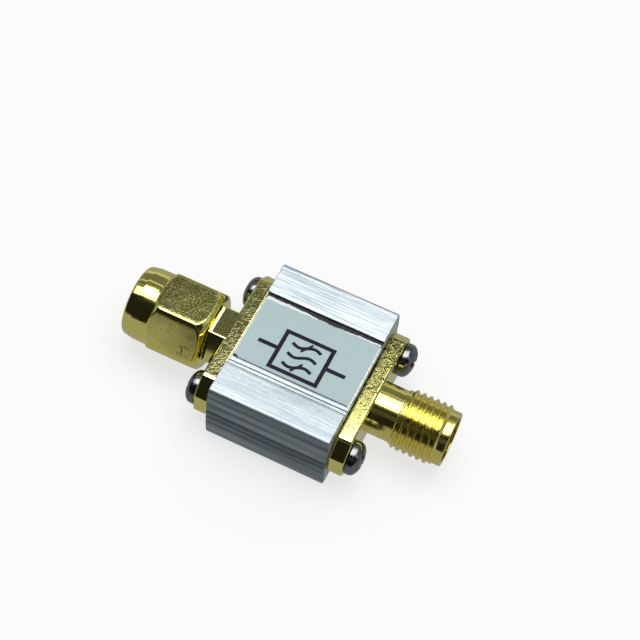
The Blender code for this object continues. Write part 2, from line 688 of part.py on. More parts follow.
def build_solder(name, x, floor):
    # A small mound that wets the end of the connector's post, cut to clear it.
    bm = bmesh.new()
    bmesh.ops.create_uvsphere(bm, u_segments=SMALL_STEPS, v_segments=10, radius=SOLDER_RADIUS)
    bmesh.ops.bisect_plane(bm, geom=bm.verts[:] + bm.edges[:] + bm.faces[:], plane_co=(0, 0, 0),
                           plane_no=(0, 0, -1), clear_outer=True)
    bmesh.ops.holes_fill(bm, edges=[e for e in bm.edges if e.is_boundary])
    bmesh.ops.scale(bm, vec=(1.0, 0.75, SOLDER_HEIGHT / SOLDER_RADIUS), verts=bm.verts)
    item = add_object(name, mesh_from_bmesh(name, bm), SOLDER)
    item.location = (x, 0.0, floor)
    reach = 4 * SOLDER_RADIUS
    outward = 1 if x > 0 else -1
    seat = cylinder_cutter(name + "_seat", POST_RADIUS + BORE_GAP, reach,
                           (x + outward * (reach / 2 - BORE_GAP), 0.0, AXIS_Z), SMALL_STEPS)
    combine(item, seat, "DIFFERENCE")
    return item


def main():
    build_housing()
    build_label()
    build_male_body()
    build_coupling_nut()
    build_snap_ring()
    build_nut_gasket()
    build_female_body()
    build_insulators()
    build_male_center_pin()
    build_female_center_socket()
    build_screws()
    build_board()
    for item in PARTS.objects:
        if item.type == "MESH":
            smooth_round(item)


clear_scene()
PARTS = new_collection(COLLECTION_NAME)
CUTTERS = new_collection(CUTTER_COLLECTION_NAME)
ORIGIN = bpy.data.objects.new("sleeve_centre", None)
PARTS.objects.link(ORIGIN)
ORIGIN.location = (CENTRE_X, 0.0, 0.0)

ALUMINIUM = make_material("brushed_aluminium", (0.80, 0.82, 0.84), 0.35, 1.0)
GOLD = make_material("gold_plate", (0.78, 0.62, 0.25), 0.25, 1.0)
STEEL = make_material("nickel_plated_steel", (0.42, 0.43, 0.44), 0.3, 1.0)
SPRING_BRONZE = make_material("spring_bronze", (0.60, 0.42, 0.22), 0.35, 1.0)
RUBBER = make_material("silicone_gasket", (0.55, 0.10, 0.05), 0.6, 0.0)
PTFE = make_material("white_ptfe", (0.90, 0.89, 0.86), 0.45, 0.0)
PAPER = make_material("label_paper", (0.70, 0.77, 0.78), 0.6, 0.0)
BOARD = make_material("green_board", (0.05, 0.28, 0.12), 0.45, 0.0)
COPPER = make_material("tinned_copper", (0.75, 0.70, 0.62), 0.3, 1.0)
CERAMIC = make_material("alumina_ceramic", (0.55, 0.52, 0.48), 0.6, 0.0)
LID = make_material("kovar_lid", (0.72, 0.66, 0.50), 0.3, 1.0)
CAPACITOR = make_material("capacitor_ceramic", (0.50, 0.36, 0.22), 0.5, 0.0)
INDUCTOR = make_material("inductor_ferrite", (0.12, 0.12, 0.13), 0.5, 0.0)
SOLDER = make_material("solder", (0.70, 0.71, 0.72), 0.25, 1.0)

main()
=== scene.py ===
# Inline surface acoustic wave filter: the looks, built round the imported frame.
# Lengths in the dictionaries are millimetres. X runs along the coaxial line, Z is up.

import math

import bmesh
import bpy
import numpy as np
from mathutils import Matrix, Vector
from mathutils.geometry import tessellate_polygon


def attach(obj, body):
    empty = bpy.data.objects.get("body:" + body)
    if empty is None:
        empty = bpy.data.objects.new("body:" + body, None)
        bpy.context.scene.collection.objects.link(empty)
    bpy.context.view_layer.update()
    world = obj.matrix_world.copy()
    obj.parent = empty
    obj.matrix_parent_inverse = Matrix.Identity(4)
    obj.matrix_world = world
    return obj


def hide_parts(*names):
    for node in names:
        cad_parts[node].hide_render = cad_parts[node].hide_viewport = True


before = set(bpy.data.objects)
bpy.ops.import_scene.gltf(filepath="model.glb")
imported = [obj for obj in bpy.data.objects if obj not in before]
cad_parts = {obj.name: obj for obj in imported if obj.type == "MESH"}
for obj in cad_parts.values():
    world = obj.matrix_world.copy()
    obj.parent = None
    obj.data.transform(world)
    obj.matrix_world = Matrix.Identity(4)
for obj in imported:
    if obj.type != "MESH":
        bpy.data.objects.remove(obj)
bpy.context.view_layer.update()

mm = 0.001
lineZ = 4.2          # height of the coaxial line over the table
middleX = 1.21       # middle of the sleeve
faceOut = 7.94       # from the sleeve's middle to the outer face of a flange
lineBore = 2.05      # radius of the bores that hold the insulators


# Surfaces worked out as whole arrays

def gridFaces(rows, columns, closeRows=False, closeColumns=False):
    # Quads between neighbouring points of a grid, wrapped round where asked.
    i = np.arange(rows if closeRows else rows - 1)
    j = np.arange(columns if closeColumns else columns - 1)
    i, j = np.meshgrid(i, j, indexing="ij")
    a = i * columns + j
    b = i * columns + (j + 1) % columns
    c = (i + 1) % rows * columns + (j + 1) % columns
    d = (i + 1) % rows * columns + j
    return np.stack([a, b, c, d], axis=-1).reshape(-1, 4)


def meshPiece(name, points, faces, material, body, node=None):
    # Points in millimetres become one smooth shaded mesh that rides on a body.
    mesh = bpy.data.meshes.new(name)
    metres = (np.asarray(points).reshape(-1, 3) * mm).tolist()
    mesh.from_pydata(metres, [], faces if isinstance(faces, list) else faces.tolist())
    bm = bmesh.new()
    bm.from_mesh(mesh)
    bmesh.ops.remove_doubles(bm, verts=bm.verts, dist=1e-8)
    bmesh.ops.recalc_face_normals(bm, faces=bm.faces)
    bm.to_mesh(mesh)
    bm.free()
    mesh.shade_smooth()
    mesh.set_sharp_from_angle(angle=math.radians(50))
    mesh.materials.append(material)
    item = bpy.data.objects.new(name, mesh)
    bpy.context.scene.collection.objects.link(item)
    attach(item, body)
    if node:
        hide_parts(node)
    return item


def parabola(first, middle, last, t):
    # The curve that leaves the first point towards the middle one and reaches the last from it.
    return (1 - t) ** 2 * first + 2 * t * (1 - t) * middle + t ** 2 * last


def roundCorners(corners, radius, count=5, closed=True):
    # Each corner becomes a parabola between points a radius before and after it, with one more point on
    # each side to keep the flats flat.
    p = np.asarray(corners, float)
    radius = np.broadcast_to(np.asarray(radius, float), (len(p),))[:, None]
    before, after = np.roll(p, 1, axis=0) - p, np.roll(p, -1, axis=0) - p
    lenB = np.linalg.norm(before, axis=1, keepdims=True)
    lenA = np.linalg.norm(after, axis=1, keepdims=True)
    rB, rA = np.minimum(radius, 0.42 * lenB), np.minimum(radius, 0.42 * lenA)
    a, b = p + before / lenB * rB, p + after / lenA * rA
    a2, b2 = p + before / lenB * rB * 1.15, p + after / lenA * rA * 1.15
    t = np.linspace(0, 1, count)[None, :, None]
    curve = parabola(a[:, None], p[:, None], b[:, None], t)
    loop = np.concatenate([a2[:, None], curve, b2[:, None]], axis=1)
    if not closed:
        loop[0] = p[0]
        loop[-1] = p[-1]
    return loop.reshape(-1, p.shape[1])


def alongLine(side, length):
    # From a length outward of a flange's outer face to X.
    return middleX + side * (faceOut + length)


def ring(x, radius, angle):
    # Points at X, at a radius from the coaxial line, at an angle from +Y towards +Z.
    return np.stack([x + 0 * angle, radius * np.cos(angle), lineZ + radius * np.sin(angle)], axis=-1)


def circle(side, length, radius, angle):
    # One row of a grid: a circle round the coaxial line.
    return ring(alongLine(side, length) + 0 * angle, radius + 0 * angle, angle)[None]


def turnedPiece(name, profile, side, material, body, node=None, edge=0.04, steps=128, closed=True):
    # A profile of (length, radius) with rounded corners, carried round the coaxial line.
    loop = roundCorners(profile, edge, closed=closed)
    angle = np.linspace(0, 2 * np.pi, steps, endpoint=False)
    s, a = np.meshgrid(loop[:, 0], angle, indexing="ij")
    r = np.broadcast_to(loop[:, 1:], s.shape)
    points = ring(alongLine(side, s), r, a)
    return meshPiece(name, points, gridFaces(len(loop), steps, closed, True), material, body, node)


# Materials

def shaderTree(name):
    material = bpy.data.materials.new(name)
    material.use_nodes = True
    nodes = material.node_tree.nodes
    return material, nodes, material.node_tree.links, nodes["Principled BSDF"]


def patternAt(nodes, links, cells, detail=3.0, rough=0.6, turn=0.0):
    # A noise in object space, with so many cells per millimetre along X, Y and Z, turned about Z by degrees.
    place = nodes.new("ShaderNodeTexCoord")
    scale = nodes.new("ShaderNodeMapping")
    scale.vector_type = "TEXTURE"
    scale.inputs["Rotation"].default_value = (0.0, 0.0, math.radians(turn))
    scale.inputs["Scale"].default_value = tuple(mm / count for count in cells)
    links.new(place.outputs["Object"], scale.inputs["Vector"])
    noise = nodes.new("ShaderNodeTexNoise")
    noise.inputs["Scale"].default_value = 1.0
    noise.inputs["Detail"].default_value = detail
    noise.inputs["Roughness"].default_value = rough
    links.new(scale.outputs["Vector"], noise.inputs["Vector"])
    return noise.outputs["Fac"]


def beyondLevel(nodes, links, axis, start, end, least=0.0, both=False):
    # Rises from least to 1 between two places in millimetres on an object axis, on both sides where asked.
    place = nodes.new("ShaderNodeTexCoord")
    axes = nodes.new("ShaderNodeSeparateXYZ")
    links.new(place.outputs["Object"], axes.inputs["Vector"])
    source = axes.outputs[axis]
    if both:
        outward = nodes.new("ShaderNodeMath")
        outward.operation = "ABSOLUTE"
        links.new(source, outward.inputs[0])
        source = outward.outputs["Value"]
    rise = nodes.new("ShaderNodeMapRange")
    links.new(source, rise.inputs["Value"])
    rise.inputs["From Min"].default_value = start * mm
    rise.inputs["From Max"].default_value = end * mm
    rise.inputs["To Min"].default_value = least
    return rise.outputs["Result"]


def nearPoint(nodes, links, point, inner, outer):
    # 1 within the inner distance of a point, in millimetres, falling to 0 at the outer distance.
    place = nodes.new("ShaderNodeTexCoord")
    away = nodes.new("ShaderNodeVectorMath")
    away.operation = "DISTANCE"
    links.new(place.outputs["Object"], away.inputs[0])
    away.inputs[1].default_value = tuple(v * mm for v in point)
    fall = nodes.new("ShaderNodeMapRange")
    links.new(away.outputs["Value"], fall.inputs["Value"])
    fall.inputs["From Min"].default_value = outer * mm
    fall.inputs["From Max"].default_value = inner * mm
    return fall.outputs["Result"]


def product(nodes, links, first, second):
    times = nodes.new("ShaderNodeMath")
    times.operation = "MULTIPLY"
    links.new(first, times.inputs[0])
    links.new(second, times.inputs[1])
    return times.outputs["Value"]


def blend(nodes, links, share, first, second):
    # The first colour where the share is 0 and the second where it is 1.
    mix = nodes.new("ShaderNodeMix")
    mix.data_type = "RGBA"
    links.new(share, mix.inputs["Factor"])
    links.new(first, mix.inputs[6])
    links.new(second, mix.inputs[7])
    return mix.outputs[2]


def rampOf(nodes, links, source, stops):
    ramp = nodes.new("ShaderNodeValToRGB")
    while len(ramp.color_ramp.elements) < len(stops):
        ramp.color_ramp.elements.new(0.5)
    for element, (place, color) in zip(ramp.color_ramp.elements, stops):
        element.position = place
        element.color = (*color, 1.0) if len(color) == 3 else (color[0], color[0], color[0], 1.0)
    links.new(source, ramp.inputs["Fac"])
    return ramp.outputs["Color"]


def bumpFrom(nodes, links, shader, heights, strength, depth):
    # Heights are a list of (socket, weight) added up. The depth is in millimetres.
    total = None
    for socket, weight in heights:
        scaled = nodes.new("ShaderNodeMath")
        scaled.operation = "MULTIPLY_ADD"
        links.new(socket, scaled.inputs[0])
        scaled.inputs[1].default_value = weight
        if total is None:
            scaled.inputs[2].default_value = 0.0
        else:
            links.new(total, scaled.inputs[2])
        total = scaled.outputs["Value"]
    bump = nodes.new("ShaderNodeBump")
    bump.inputs["Strength"].default_value = strength
    bump.inputs["Distance"].default_value = depth * mm
    links.new(total, bump.inputs["Height"])
    links.new(bump.outputs["Normal"], shader.inputs["Normal"])


def goldMaterial(name, look, lines):
    # Plated metal: fine tool lines and patches of another gloss. Above a height, on the faces that look up,
    # it is worn, with a speckled tone, a pitted grain and scratches where asked. Below, the tone is calm.
    material, nodes, links, shader = shaderTree(name)
    patch = patternAt(nodes, links, (0.9, 0.9, 0.9))
    speck = patternAt(nodes, links, (look["speckCells"],) * 3, detail=2.0, rough=0.7)
    grain = patternAt(nodes, links, (look["grain"],) * 3)
    tool = patternAt(nodes, links, lines, detail=2.0)
    tone = rampOf(nodes, links, speck, [(0.36, look["deep"]), (0.52, look["middle"]), (0.66, look["light"])])
    calm = rampOf(nodes, links, speck, [(0.36, look["calmDeep"]), (0.66, look["calmLight"])])
    upward = beyondLevel(nodes, links, "Z", look["wornAbove"] - 0.06, look["wornAbove"], look["wornShare"])
    tone = blend(nodes, links, upward, calm, tone)
    grain = product(nodes, links, grain, upward)
    heights = [(tool, look["toolShare"])]
    if look["scratched"]:
        # Crossing scratches, which thicken from one end of the span to the other, and a grain that is
        # rougher at the back.
        ends = beyondLevel(nodes, links, "Y", *look["scratchSpan"], look["scratchLeast"])
        grain = product(nodes, links, grain, beyondLevel(nodes, links, "Y", *look["grainRise"]))
        for turn in (28.0, -34.0, 80.0):
            line = patternAt(nodes, links, (1.1, 6.5, 6.5), detail=1.0, rough=0.5, turn=turn)
            cut = rampOf(nodes, links, product(nodes, links, line, ends), [(0.53, (0.0,)), (0.57, (1.0,))])
            cut = product(nodes, links, cut, upward)
            cutTone = rampOf(nodes, links, speck, [(0.3, look["scratch"]), (0.7, look["scratchLight"])])
            tone = blend(nodes, links, cut, tone, cutTone)
            heights.append((cut, look["scratchDepth"]))
    if look["scuffs"]:
        # A few short dark marks in one place.
        mark = patternAt(nodes, links, (3.2, 3.2, 2.0), detail=2.0, turn=25.0)
        mark = rampOf(nodes, links, mark, [(0.53, (0.0,)), (0.58, (1.0,))])
        mark = product(nodes, links, mark, nearPoint(nodes, links, look["scuffs"], 0.35, 0.95))
        markTone = rampOf(nodes, links, speck, [(0.3, look["scratch"]), (0.7, look["deep"])])
        tone = blend(nodes, links, mark, tone, markTone)
    links.new(tone, shader.inputs["Base Color"])
    gloss = rampOf(nodes, links, patch, [(0.3, (look["smooth"],)), (0.7, (look["rough"],))])
    links.new(gloss, shader.inputs["Roughness"])
    shader.inputs["Metallic"].default_value = 1.0
    heights.append((grain, 1.0))
    bumpFrom(nodes, links, shader, heights, look["bump"], look["bumpDepth"])
    return material


goldLook = {
    "wornAbove": 7.02,
    "wornShare": 0.03,
    "scratched": True,
    "scratchLeast": 0.75,
    "scratchSpan": (-7.0, 7.0),
    "scratchDepth": 1.0,
    "grainRise": (-2.0, 4.0, 0.45),
    "scuffs": None,
    "scratch": (0.02, 0.018, 0.006),
    "scratchLight": (0.15, 0.14, 0.045),
    "calmDeep": (0.82, 0.75, 0.21),
    "calmLight": (0.92, 0.85, 0.28),
    "deep": (0.62, 0.59, 0.17),
    "middle": (0.82, 0.78, 0.26),
    "light": (0.95, 0.93, 0.43),
    "speckCells": 7.0,
    "smooth": 0.05,
    "rough": 0.12,
    "grain": 5.5,
    "bump": 0.7,
    "bumpDepth": 0.008,
    "toolShare": 0.02,
}
turnedLook = dict(goldLook, deep=(0.78, 0.66, 0.16), middle=(0.86, 0.75, 0.21), light=(0.92, 0.83, 0.30),
                  bumpDepth=0.003, toolShare=0.8, smooth=0.10, rough=0.20, wornAbove=0.0, scratched=False)
shankLook = dict(goldLook, deep=(0.46, 0.45, 0.13), middle=(0.74, 0.71, 0.24), light=(1.0, 0.98, 0.58),
                 speckCells=5.5, smooth=0.02, rough=0.04, toolShare=0.0, scratched=False, wornShare=0.0)
plugLook = dict(shankLook, deep=(0.52, 0.49, 0.15), middle=(0.86, 0.82, 0.30), light=(1.0, 0.97, 0.52),
                speckCells=4.0, scratched=True, scratchLeast=0.84, scratchSpan=(7.0, -7.0),
                scratch=(0.60, 0.56, 0.20), scratchLight=(1.0, 0.96, 0.50), scratchDepth=0.22, grain=7.0,
                bumpDepth=0.0065)
milledLines = (0.6, 9.0, 9.0)
goldMilled = goldMaterial("goldMilled", goldLook, milledLines)
goldPlug = goldMaterial("goldPlug", plugLook, milledLines)
goldShank = goldMaterial("goldShank", shankLook, milledLines)
goldTurned = goldMaterial("goldTurned", turnedLook, (14.0, 0.4, 0.4))


def aluminiumMaterial(name, look):
    # Extruded and brushed: streaks along X in tone and height, scuffs and dark flecks. Painted shade darkens
    # the front
    #  land next to the step, fading towards its front edge, and darkens the bulged sides.
    material, nodes, links, shader = shaderTree(name)
    streak = patternAt(nodes, links, look["streakCells"], detail=4.0, rough=0.75)
    fleck = patternAt(nodes, links, look["fleckCells"], detail=3.0, rough=0.7)
    scuff = patternAt(nodes, links, (0.5, 2.2, 2.2), detail=5.0, rough=0.7)
    top = rampOf(nodes, links, streak, [(0.38, look["deep"]), (0.50, look["middle"]), (0.60, look["light"])])
    dark = rampOf(nodes, links, scuff, [(0.3, look["sideLight"]), (0.7, look["deep"])])
    top = blend(nodes, links, rampOf(nodes, links, fleck, [(0.62, (0.0,)), (0.70, (1.0,))]), top, dark)
    # Painted shade: the front land next to the step takes darker copies of the tones, fading out towards the
    # land's front edge.
    frontStops = [(0.38, look["frontDeep"]), (0.50, look["frontMiddle"]), (0.62, look["frontLight"])]
    frontMix = rampOf(nodes, links, fleck, [(0.46, (0.0,)), (0.54, (1.0,))])
    front = blend(nodes, links, frontMix, rampOf(nodes, links, streak, frontStops),
                  rampOf(nodes, links, scuff, frontStops))
    frontShadeShare = product(nodes, links, beyondLevel(nodes, links, "Y", *look["frontEdge"]),
                         beyondLevel(nodes, links, "Y", *look["frontFade"]))
    top = blend(nodes, links, frontShadeShare, top, front)
    line = rampOf(nodes, links, fleck, [(0.3, look["lineDeep"]), (0.7, look["lineLight"])])
    for inner, outer, low, high in look["stepLines"]:
        # A dark line along X between two places on Y and two heights, with soft edges.
        across = product(nodes, links, beyondLevel(nodes, links, "Y", -outer - 0.04, -outer),
                         beyondLevel(nodes, links, "Y", 0.04 - inner, -inner))
        within = product(nodes, links, beyondLevel(nodes, links, "Z", low - 0.04, low),
                         beyondLevel(nodes, links, "Z", high + 0.04, high))
        top = blend(nodes, links, product(nodes, links, across, within), top, line)
    # Painted shade: the bulged sides get a darker tone, standing in for the dim light they reflect.
    band = patternAt(nodes, links, look["bandCells"], detail=3.0)
    side = rampOf(nodes, links, band, [(0.38, look["sideDeep"]), (0.62, look["sideLight"])])
    sideShadeShare = beyondLevel(nodes, links, "Y", *look["bulgeEdge"], both=True)
    links.new(blend(nodes, links, sideShadeShare, top, side), shader.inputs["Base Color"])
    gloss = rampOf(nodes, links, scuff, [(0.3, (look["smooth"],)), (0.7, (look["rough"],))])
    links.new(gloss, shader.inputs["Roughness"])
    shader.inputs["Metallic"].default_value = 1.0
    shader.inputs["Anisotropic"].default_value = 0.3
    bumpFrom(nodes, links, shader, [(streak, 1.0), (scuff, 0.3)], look["bump"], look["bumpDepth"])
    return material


sleeveLook = {
    "deep": (0.45, 0.54, 0.59),
    "middle": (0.64, 0.72, 0.76),
    "light": (0.88, 0.93, 0.94),
    "frontDeep": (0.42, 0.49, 0.53),
    "frontMiddle": (0.53, 0.605, 0.64),
    "frontLight": (0.70, 0.75, 0.78),
    "frontEdge": (-4.4, -4.9),
    "frontFade": (-7.8, -5.6, 0.35),
    "bulgeEdge": (7.97, 8.03),
    "sideDeep": (0.19, 0.24, 0.27),
    "sideLight": (0.42, 0.48, 0.51),
    "bandCells": (0.05, 1.6, 1.6),
    "stepLines": ((3.87, 3.96, 7.75, 7.95), (4.50, 4.57, 8.24, 8.45)),
    "lineDeep": (0.03, 0.035, 0.045),
    "lineLight": (0.12, 0.13, 0.15),
    "streakCells": (0.14, 5.5, 5.5),
    "fleckCells": (1.6, 9.0, 9.0),
    "smooth": 0.52,
    "rough": 0.66,
    "bump": 0.6,
    "bumpDepth": 0.015,
}
brushedAluminium = aluminiumMaterial("brushedAluminium", sleeveLook)


def plainMaterial(name, deep, light, smooth, rough, cells=3.0, metallic=0.0, bump=0.2, bumpDepth=0.02):
    # Two tones and a roughness range from one fine noise, with a little relief.
    material, nodes, links, shader = shaderTree(name)
    noise = patternAt(nodes, links, (cells,) * 3, detail=4.0)
    links.new(rampOf(nodes, links, noise, [(0.3, deep), (0.7, light)]), shader.inputs["Base Color"])
    links.new(rampOf(nodes, links, noise, [(0.3, (smooth,)), (0.7, (rough,))]), shader.inputs["Roughness"])
    shader.inputs["Metallic"].default_value = metallic
    bumpFrom(nodes, links, shader, [(noise, 1.0)], bump, bumpDepth)
    return material


screwNickel = plainMaterial("screwNickel", (0.13, 0.14, 0.15), (0.27, 0.28, 0.29), 0.12, 0.26, 4.0, 1.0)
springBronze = plainMaterial("springBronze", (0.48, 0.30, 0.14), (0.64, 0.44, 0.24), 0.25, 0.4, 4.0, 1.0)
gasketRubber = plainMaterial("gasketRubber", (0.42, 0.07, 0.04), (0.56, 0.11, 0.06), 0.5, 0.7, 5.0)
linePlastic = plainMaterial("linePlastic", (0.84, 0.83, 0.79), (0.92, 0.91, 0.88), 0.35, 0.5, 4.0)
boardMask = plainMaterial("boardMask", (0.03, 0.20, 0.08), (0.06, 0.30, 0.13), 0.3, 0.5, 3.0)
tinnedTrace = plainMaterial("tinnedTrace", (0.66, 0.62, 0.55), (0.80, 0.76, 0.70), 0.25, 0.4, 5.0, 1.0)
packageCeramic = plainMaterial("packageCeramic", (0.48, 0.45, 0.41), (0.58, 0.55, 0.51), 0.5, 0.7, 6.0)
lidPlate = plainMaterial("lidPlate", (0.66, 0.60, 0.44), (0.76, 0.70, 0.54), 0.2, 0.35, 4.0, 1.0)
capacitorCeramic = plainMaterial("capacitorCeramic", (0.42, 0.28, 0.16), (0.52, 0.38, 0.24), 0.4, 0.6, 6.0)
inductorFerrite = plainMaterial("inductorFerrite", (0.08, 0.08, 0.09), (0.15, 0.15, 0.16), 0.4, 0.6, 6.0)
brightSolder = plainMaterial("brightSolder", (0.62, 0.63, 0.64), (0.78, 0.79, 0.80), 0.15, 0.3, 5.0, 1.0)
labelFace = plainMaterial("labelFace", (0.405, 0.536, 0.538), (0.442, 0.579, 0.581), 0.38, 0.5, 2.0,
                          bump=0.15, bumpDepth=0.01)
labelEdge = plainMaterial("labelEdge", (0.80, 0.84, 0.85), (0.93, 0.95, 0.95), 0.5, 0.7, 6.0)
labelInkAndEdgeShadow = plainMaterial("labelInkAndEdgeShadow", (0.010, 0.006, 0.022), (0.022, 0.014, 0.040), 0.55, 0.7, 8.0)
labelInkAndEdgeShadow.node_tree.nodes["Principled BSDF"].inputs["Specular IOR Level"].default_value = 0.15
print("materials ready")


# Sleeve

sleeve = {
    "length": 12.5,
    "halfHeight": 4.2,
    "landHalfSpan": 7.95,
    "bulge": 0.62,
    "channelHalfWidth": 4.5,
    "channelDepth": 0.55,
    "edgeBevel": 0.30,
    "edgeDrop": 0.07,
    "lowerRound": 1.0,
    "grooveHeights": (0.95, 0.0, -0.95),
    "grooveWidth": 0.60,
    "grooveDepth": 0.12,
    "cavityHalfWidth": 4.95,
    "cavityHalfHeight": 2.8,
    "endEdge": 0.06,
}


def sleeveSide(z):
    # The side's Y at height Z: an ellipse added to the lands, less a soft-edged dip at each groove.
    s = sleeve
    y = s["landHalfSpan"] + s["bulge"] * np.sqrt(np.clip(1 - (z / s["halfHeight"]) ** 2, 0, 1))
    for height in s["grooveHeights"]:
        reach = np.clip(np.abs(z - height) / (s["grooveWidth"] / 2), 0, 1)
        y = y - s["grooveDepth"] * (0.5 + 0.5 * np.cos(np.pi * reach))
    return y


def sleeveSection(inset):
    # The closed outline, from the middle of the top round to the +Y side and on.
    s = sleeve
    h, c = s["halfHeight"], s["channelHalfWidth"]
    floor = h - s["channelDepth"]
    corners = np.array([(c, floor), (c, h - s["edgeDrop"]), (c + s["edgeBevel"], h)])
    line = np.vstack([[0.0, floor], corners, [s["landHalfSpan"] - 0.5, h]])
    step = roundCorners(line, 0.05, closed=False)[7:-7]
    t = np.linspace(0, 1, 9)[:, None]
    landEdge = np.array([s["landHalfSpan"] - 0.20, h])
    sideTop = np.array([sleeveSide(np.array(0.951 * h)), 0.951 * h])
    corner = np.array([s["landHalfSpan"] + 0.06, h])
    over = parabola(landEdge, corner, sideTop, t)
    z = h * np.sin(np.radians(np.linspace(71.0, -71.0, 261)))
    side = np.stack([sleeveSide(z), z], axis=-1)
    flat = np.array([[s["landHalfSpan"] - 0.24, h]])
    upper = np.vstack([step, flat, over])
    side = side[side[:, 1] > -0.76 * h]
    lowerCorner = np.array([s["landHalfSpan"] + 0.15, -h])
    lowerEnd = np.array([s["landHalfSpan"] - s["lowerRound"], -h])
    under = parabola(side[-1], lowerCorner, lowerEnd, t)
    half = np.vstack([upper, side, under[1:], step[::-1] * (1, -1)])
    loop = np.vstack([half, half[::-1] * (-1, 1)])
    tangent = np.roll(loop, -1, axis=0) - np.roll(loop, 1, axis=0)
    tangent /= np.linalg.norm(tangent, axis=1, keepdims=True) + 1e-12
    normal = np.stack([tangent[:, 1], -tangent[:, 0]], axis=-1)
    return loop + inset * normal


def buildSleeve():
    # The outline carried along X, drawn in a little at each end, with the cavity left open inside.
    s = sleeve
    half = s["length"] / 2
    e = s["endEdge"]
    xs = np.array([-half, -half + 0.3 * e, -half + e, -half + 2 * e,
                   half - 2 * e, half - e, half - 0.3 * e, half])
    insets = np.array([e, 0.3 * e, 0, 0, 0, 0, 0.3 * e, e])
    rings = np.stack([sleeveSection(i) for i in insets])
    outside = np.concatenate([np.broadcast_to((xs + middleX)[:, None, None], rings.shape[:2] + (1,)),
                              rings[..., :1], rings[..., 1:] + lineZ], axis=-1)
    w, h = s["cavityHalfWidth"], s["cavityHalfHeight"]
    inner = roundCorners([(w, h), (w, -h), (-w, -h), (-w, h)], 0.2)
    inside = np.stack([np.column_stack([np.full(len(inner), middleX + x), inner[:, 0], inner[:, 1] + lineZ])
                       for x in (-half, half)])
    n, m = rings.shape[1], len(inner)
    points = np.vstack([outside.reshape(-1, 3), inside.reshape(-1, 3)])
    faces = gridFaces(len(xs), n, False, True).tolist()
    faces += (gridFaces(2, m, False, True) + len(xs) * n).tolist()
    for end in (0, 1):
        outerStart = 0 if end == 0 else (len(xs) - 1) * n
        innerStart = len(xs) * n + end * m
        order = np.concatenate([np.arange(n) + outerStart, np.arange(m) + innerStart])
        loops = [[Vector(points[i]) for i in order[:n]], [Vector(points[i]) for i in order[n:]]]
        faces += [[int(order[k]) for k in corner] for corner in tessellate_polygon(loops)]
    return meshPiece("extrudedSleeve", points, faces, brushedAluminium, "filter_body", "housing")


def stripPiece(name, corners, material):
    # A long thin sheet along X: the corners are (Y, Z) pairs from one edge to the other.
    half = sleeve["length"] / 2 - 0.05
    p = np.asarray(corners, float)
    x = np.linspace(-half, half, 60)
    rows = np.stack([np.column_stack([np.full(len(p), middleX + v), p[:, 0], p[:, 1] + lineZ]) for v in x])
    return meshPiece(name, rows, gridFaces(len(x), len(p)), material, "filter_body", None)


# Painted shade: a near-black material for the shadowed rear corner of the label channel.
cornerShade = plainMaterial("channelCornerShade", (0.012, 0.014, 0.018), (0.05, 0.055, 0.065), 0.55, 0.8, 5.0)


def buildChannelCornerShade():
    # A dark sheet painted as shade in the channel's rear corner and up its wall, where the deep corner lies in
    # shadow.
    s = sleeve
    c, h = s["channelHalfWidth"], s["halfHeight"]
    floor, top = h - s["channelDepth"], h - s["edgeDrop"]
    lift = 0.006
    corners = [(c - 0.5, floor + lift), (c - lift, floor + lift), (c - lift, top - 0.04)]
    stripPiece("rearCornerShade", corners, cornerShade)


buildSleeve()
buildChannelCornerShade()
print("sleeve ready")


# Label

label = {
    "left": -6.12,
    "right": 6.08,
    "front": -3.45,
    "back": 4.24,
    "tear": 0.025,
    "sag": 0.22,
    "rim": 0.27,
    "floor": 7.89,
    "thickness": 0.10,
}


def tornEdge(x):
    # The back edge: a shallow dip near the middle and fine ripples, as paper torn along a rule.
    l = label
    return (l["back"] - l["sag"] * np.exp(-((x - 0.8) / 2.4) ** 2) + l["tear"] * np.sin(x * 3.3 + 1.1)
            + l["tear"] * np.sin(x * 8.7) * np.sin(x * 2.1 + 0.3))


def bareRim(x):
    # How far the print stops short of the torn edge: widest at the ends.
    return label["rim"] * (1.05 - 0.9 * np.exp(-((x - 0.8) / 2.4) ** 2) - 0.06 * x + 0.10 * np.sin(x * 5.1))


def sheetPiece(name, top, frontInset, backInset, endInset, material, node=None, columns=240, rows=24):
    # A thin slab: X across, Y from the straight front edge to the torn back edge, with a skirt down to
    # the channel's floor.
    l = label
    u = np.linspace(l["left"] + endInset, l["right"] - endInset, columns)
    v = np.concatenate([[0.0], np.linspace(0.0, 1.0, rows), [1.0]])
    x, share = np.meshgrid(u, v, indexing="ij")
    front, back = l["front"] + frontInset, tornEdge(x) - backInset * bareRim(x)
    y = front + share * (back - front)
    z = top + 0.006 * np.sin(x * 1.1 + y * 0.7) * np.sin(y * 1.3)
    z[:, 0] = z[:, -1] = l["floor"]
    z[0, :] = z[-1, :] = l["floor"]
    points = np.stack([x + middleX, y, z], axis=-1)
    return meshPiece(name, points, gridFaces(columns, len(v)), material, "filter_body", node)


sheetPiece("labelPaper", label["floor"] + label["thickness"] * 0.7, 0.0, 0.0, 0.0, labelEdge, "label")
sheetPiece("labelFilm", label["floor"] + label["thickness"], 0.03, 1.0, 0.03, labelFace)


def inkStroke(path, width):
    # A flat stroke: the path's points shifted half a width to each side of its direction.
    p = np.asarray(path, float)
    d = np.gradient(p, axis=0)
    d /= np.linalg.norm(d, axis=1, keepdims=True)
    n = np.stack([-d[:, 1], d[:, 0]], axis=-1)
    edges = np.stack([p + n * width / 2, p - n * width / 2], axis=1)
    z = np.full(edges.shape[:2] + (1,), label["floor"] + label["thickness"] + 0.012)
    points = np.concatenate([edges + (middleX, 0.0), z], axis=-1)
    return points.reshape(-1, 3), gridFaces(len(p), 2)


printed = {
    "waveWidth": 3.0,
    "waveHeight": 0.50,
    "waveRows": (0.50, -0.70, -1.90),
    "stroke": 0.42,
    "boxHalf": (2.45, 2.15),
    "boxCentre": (-0.1, -0.70),
    "lead": 4.6,
}


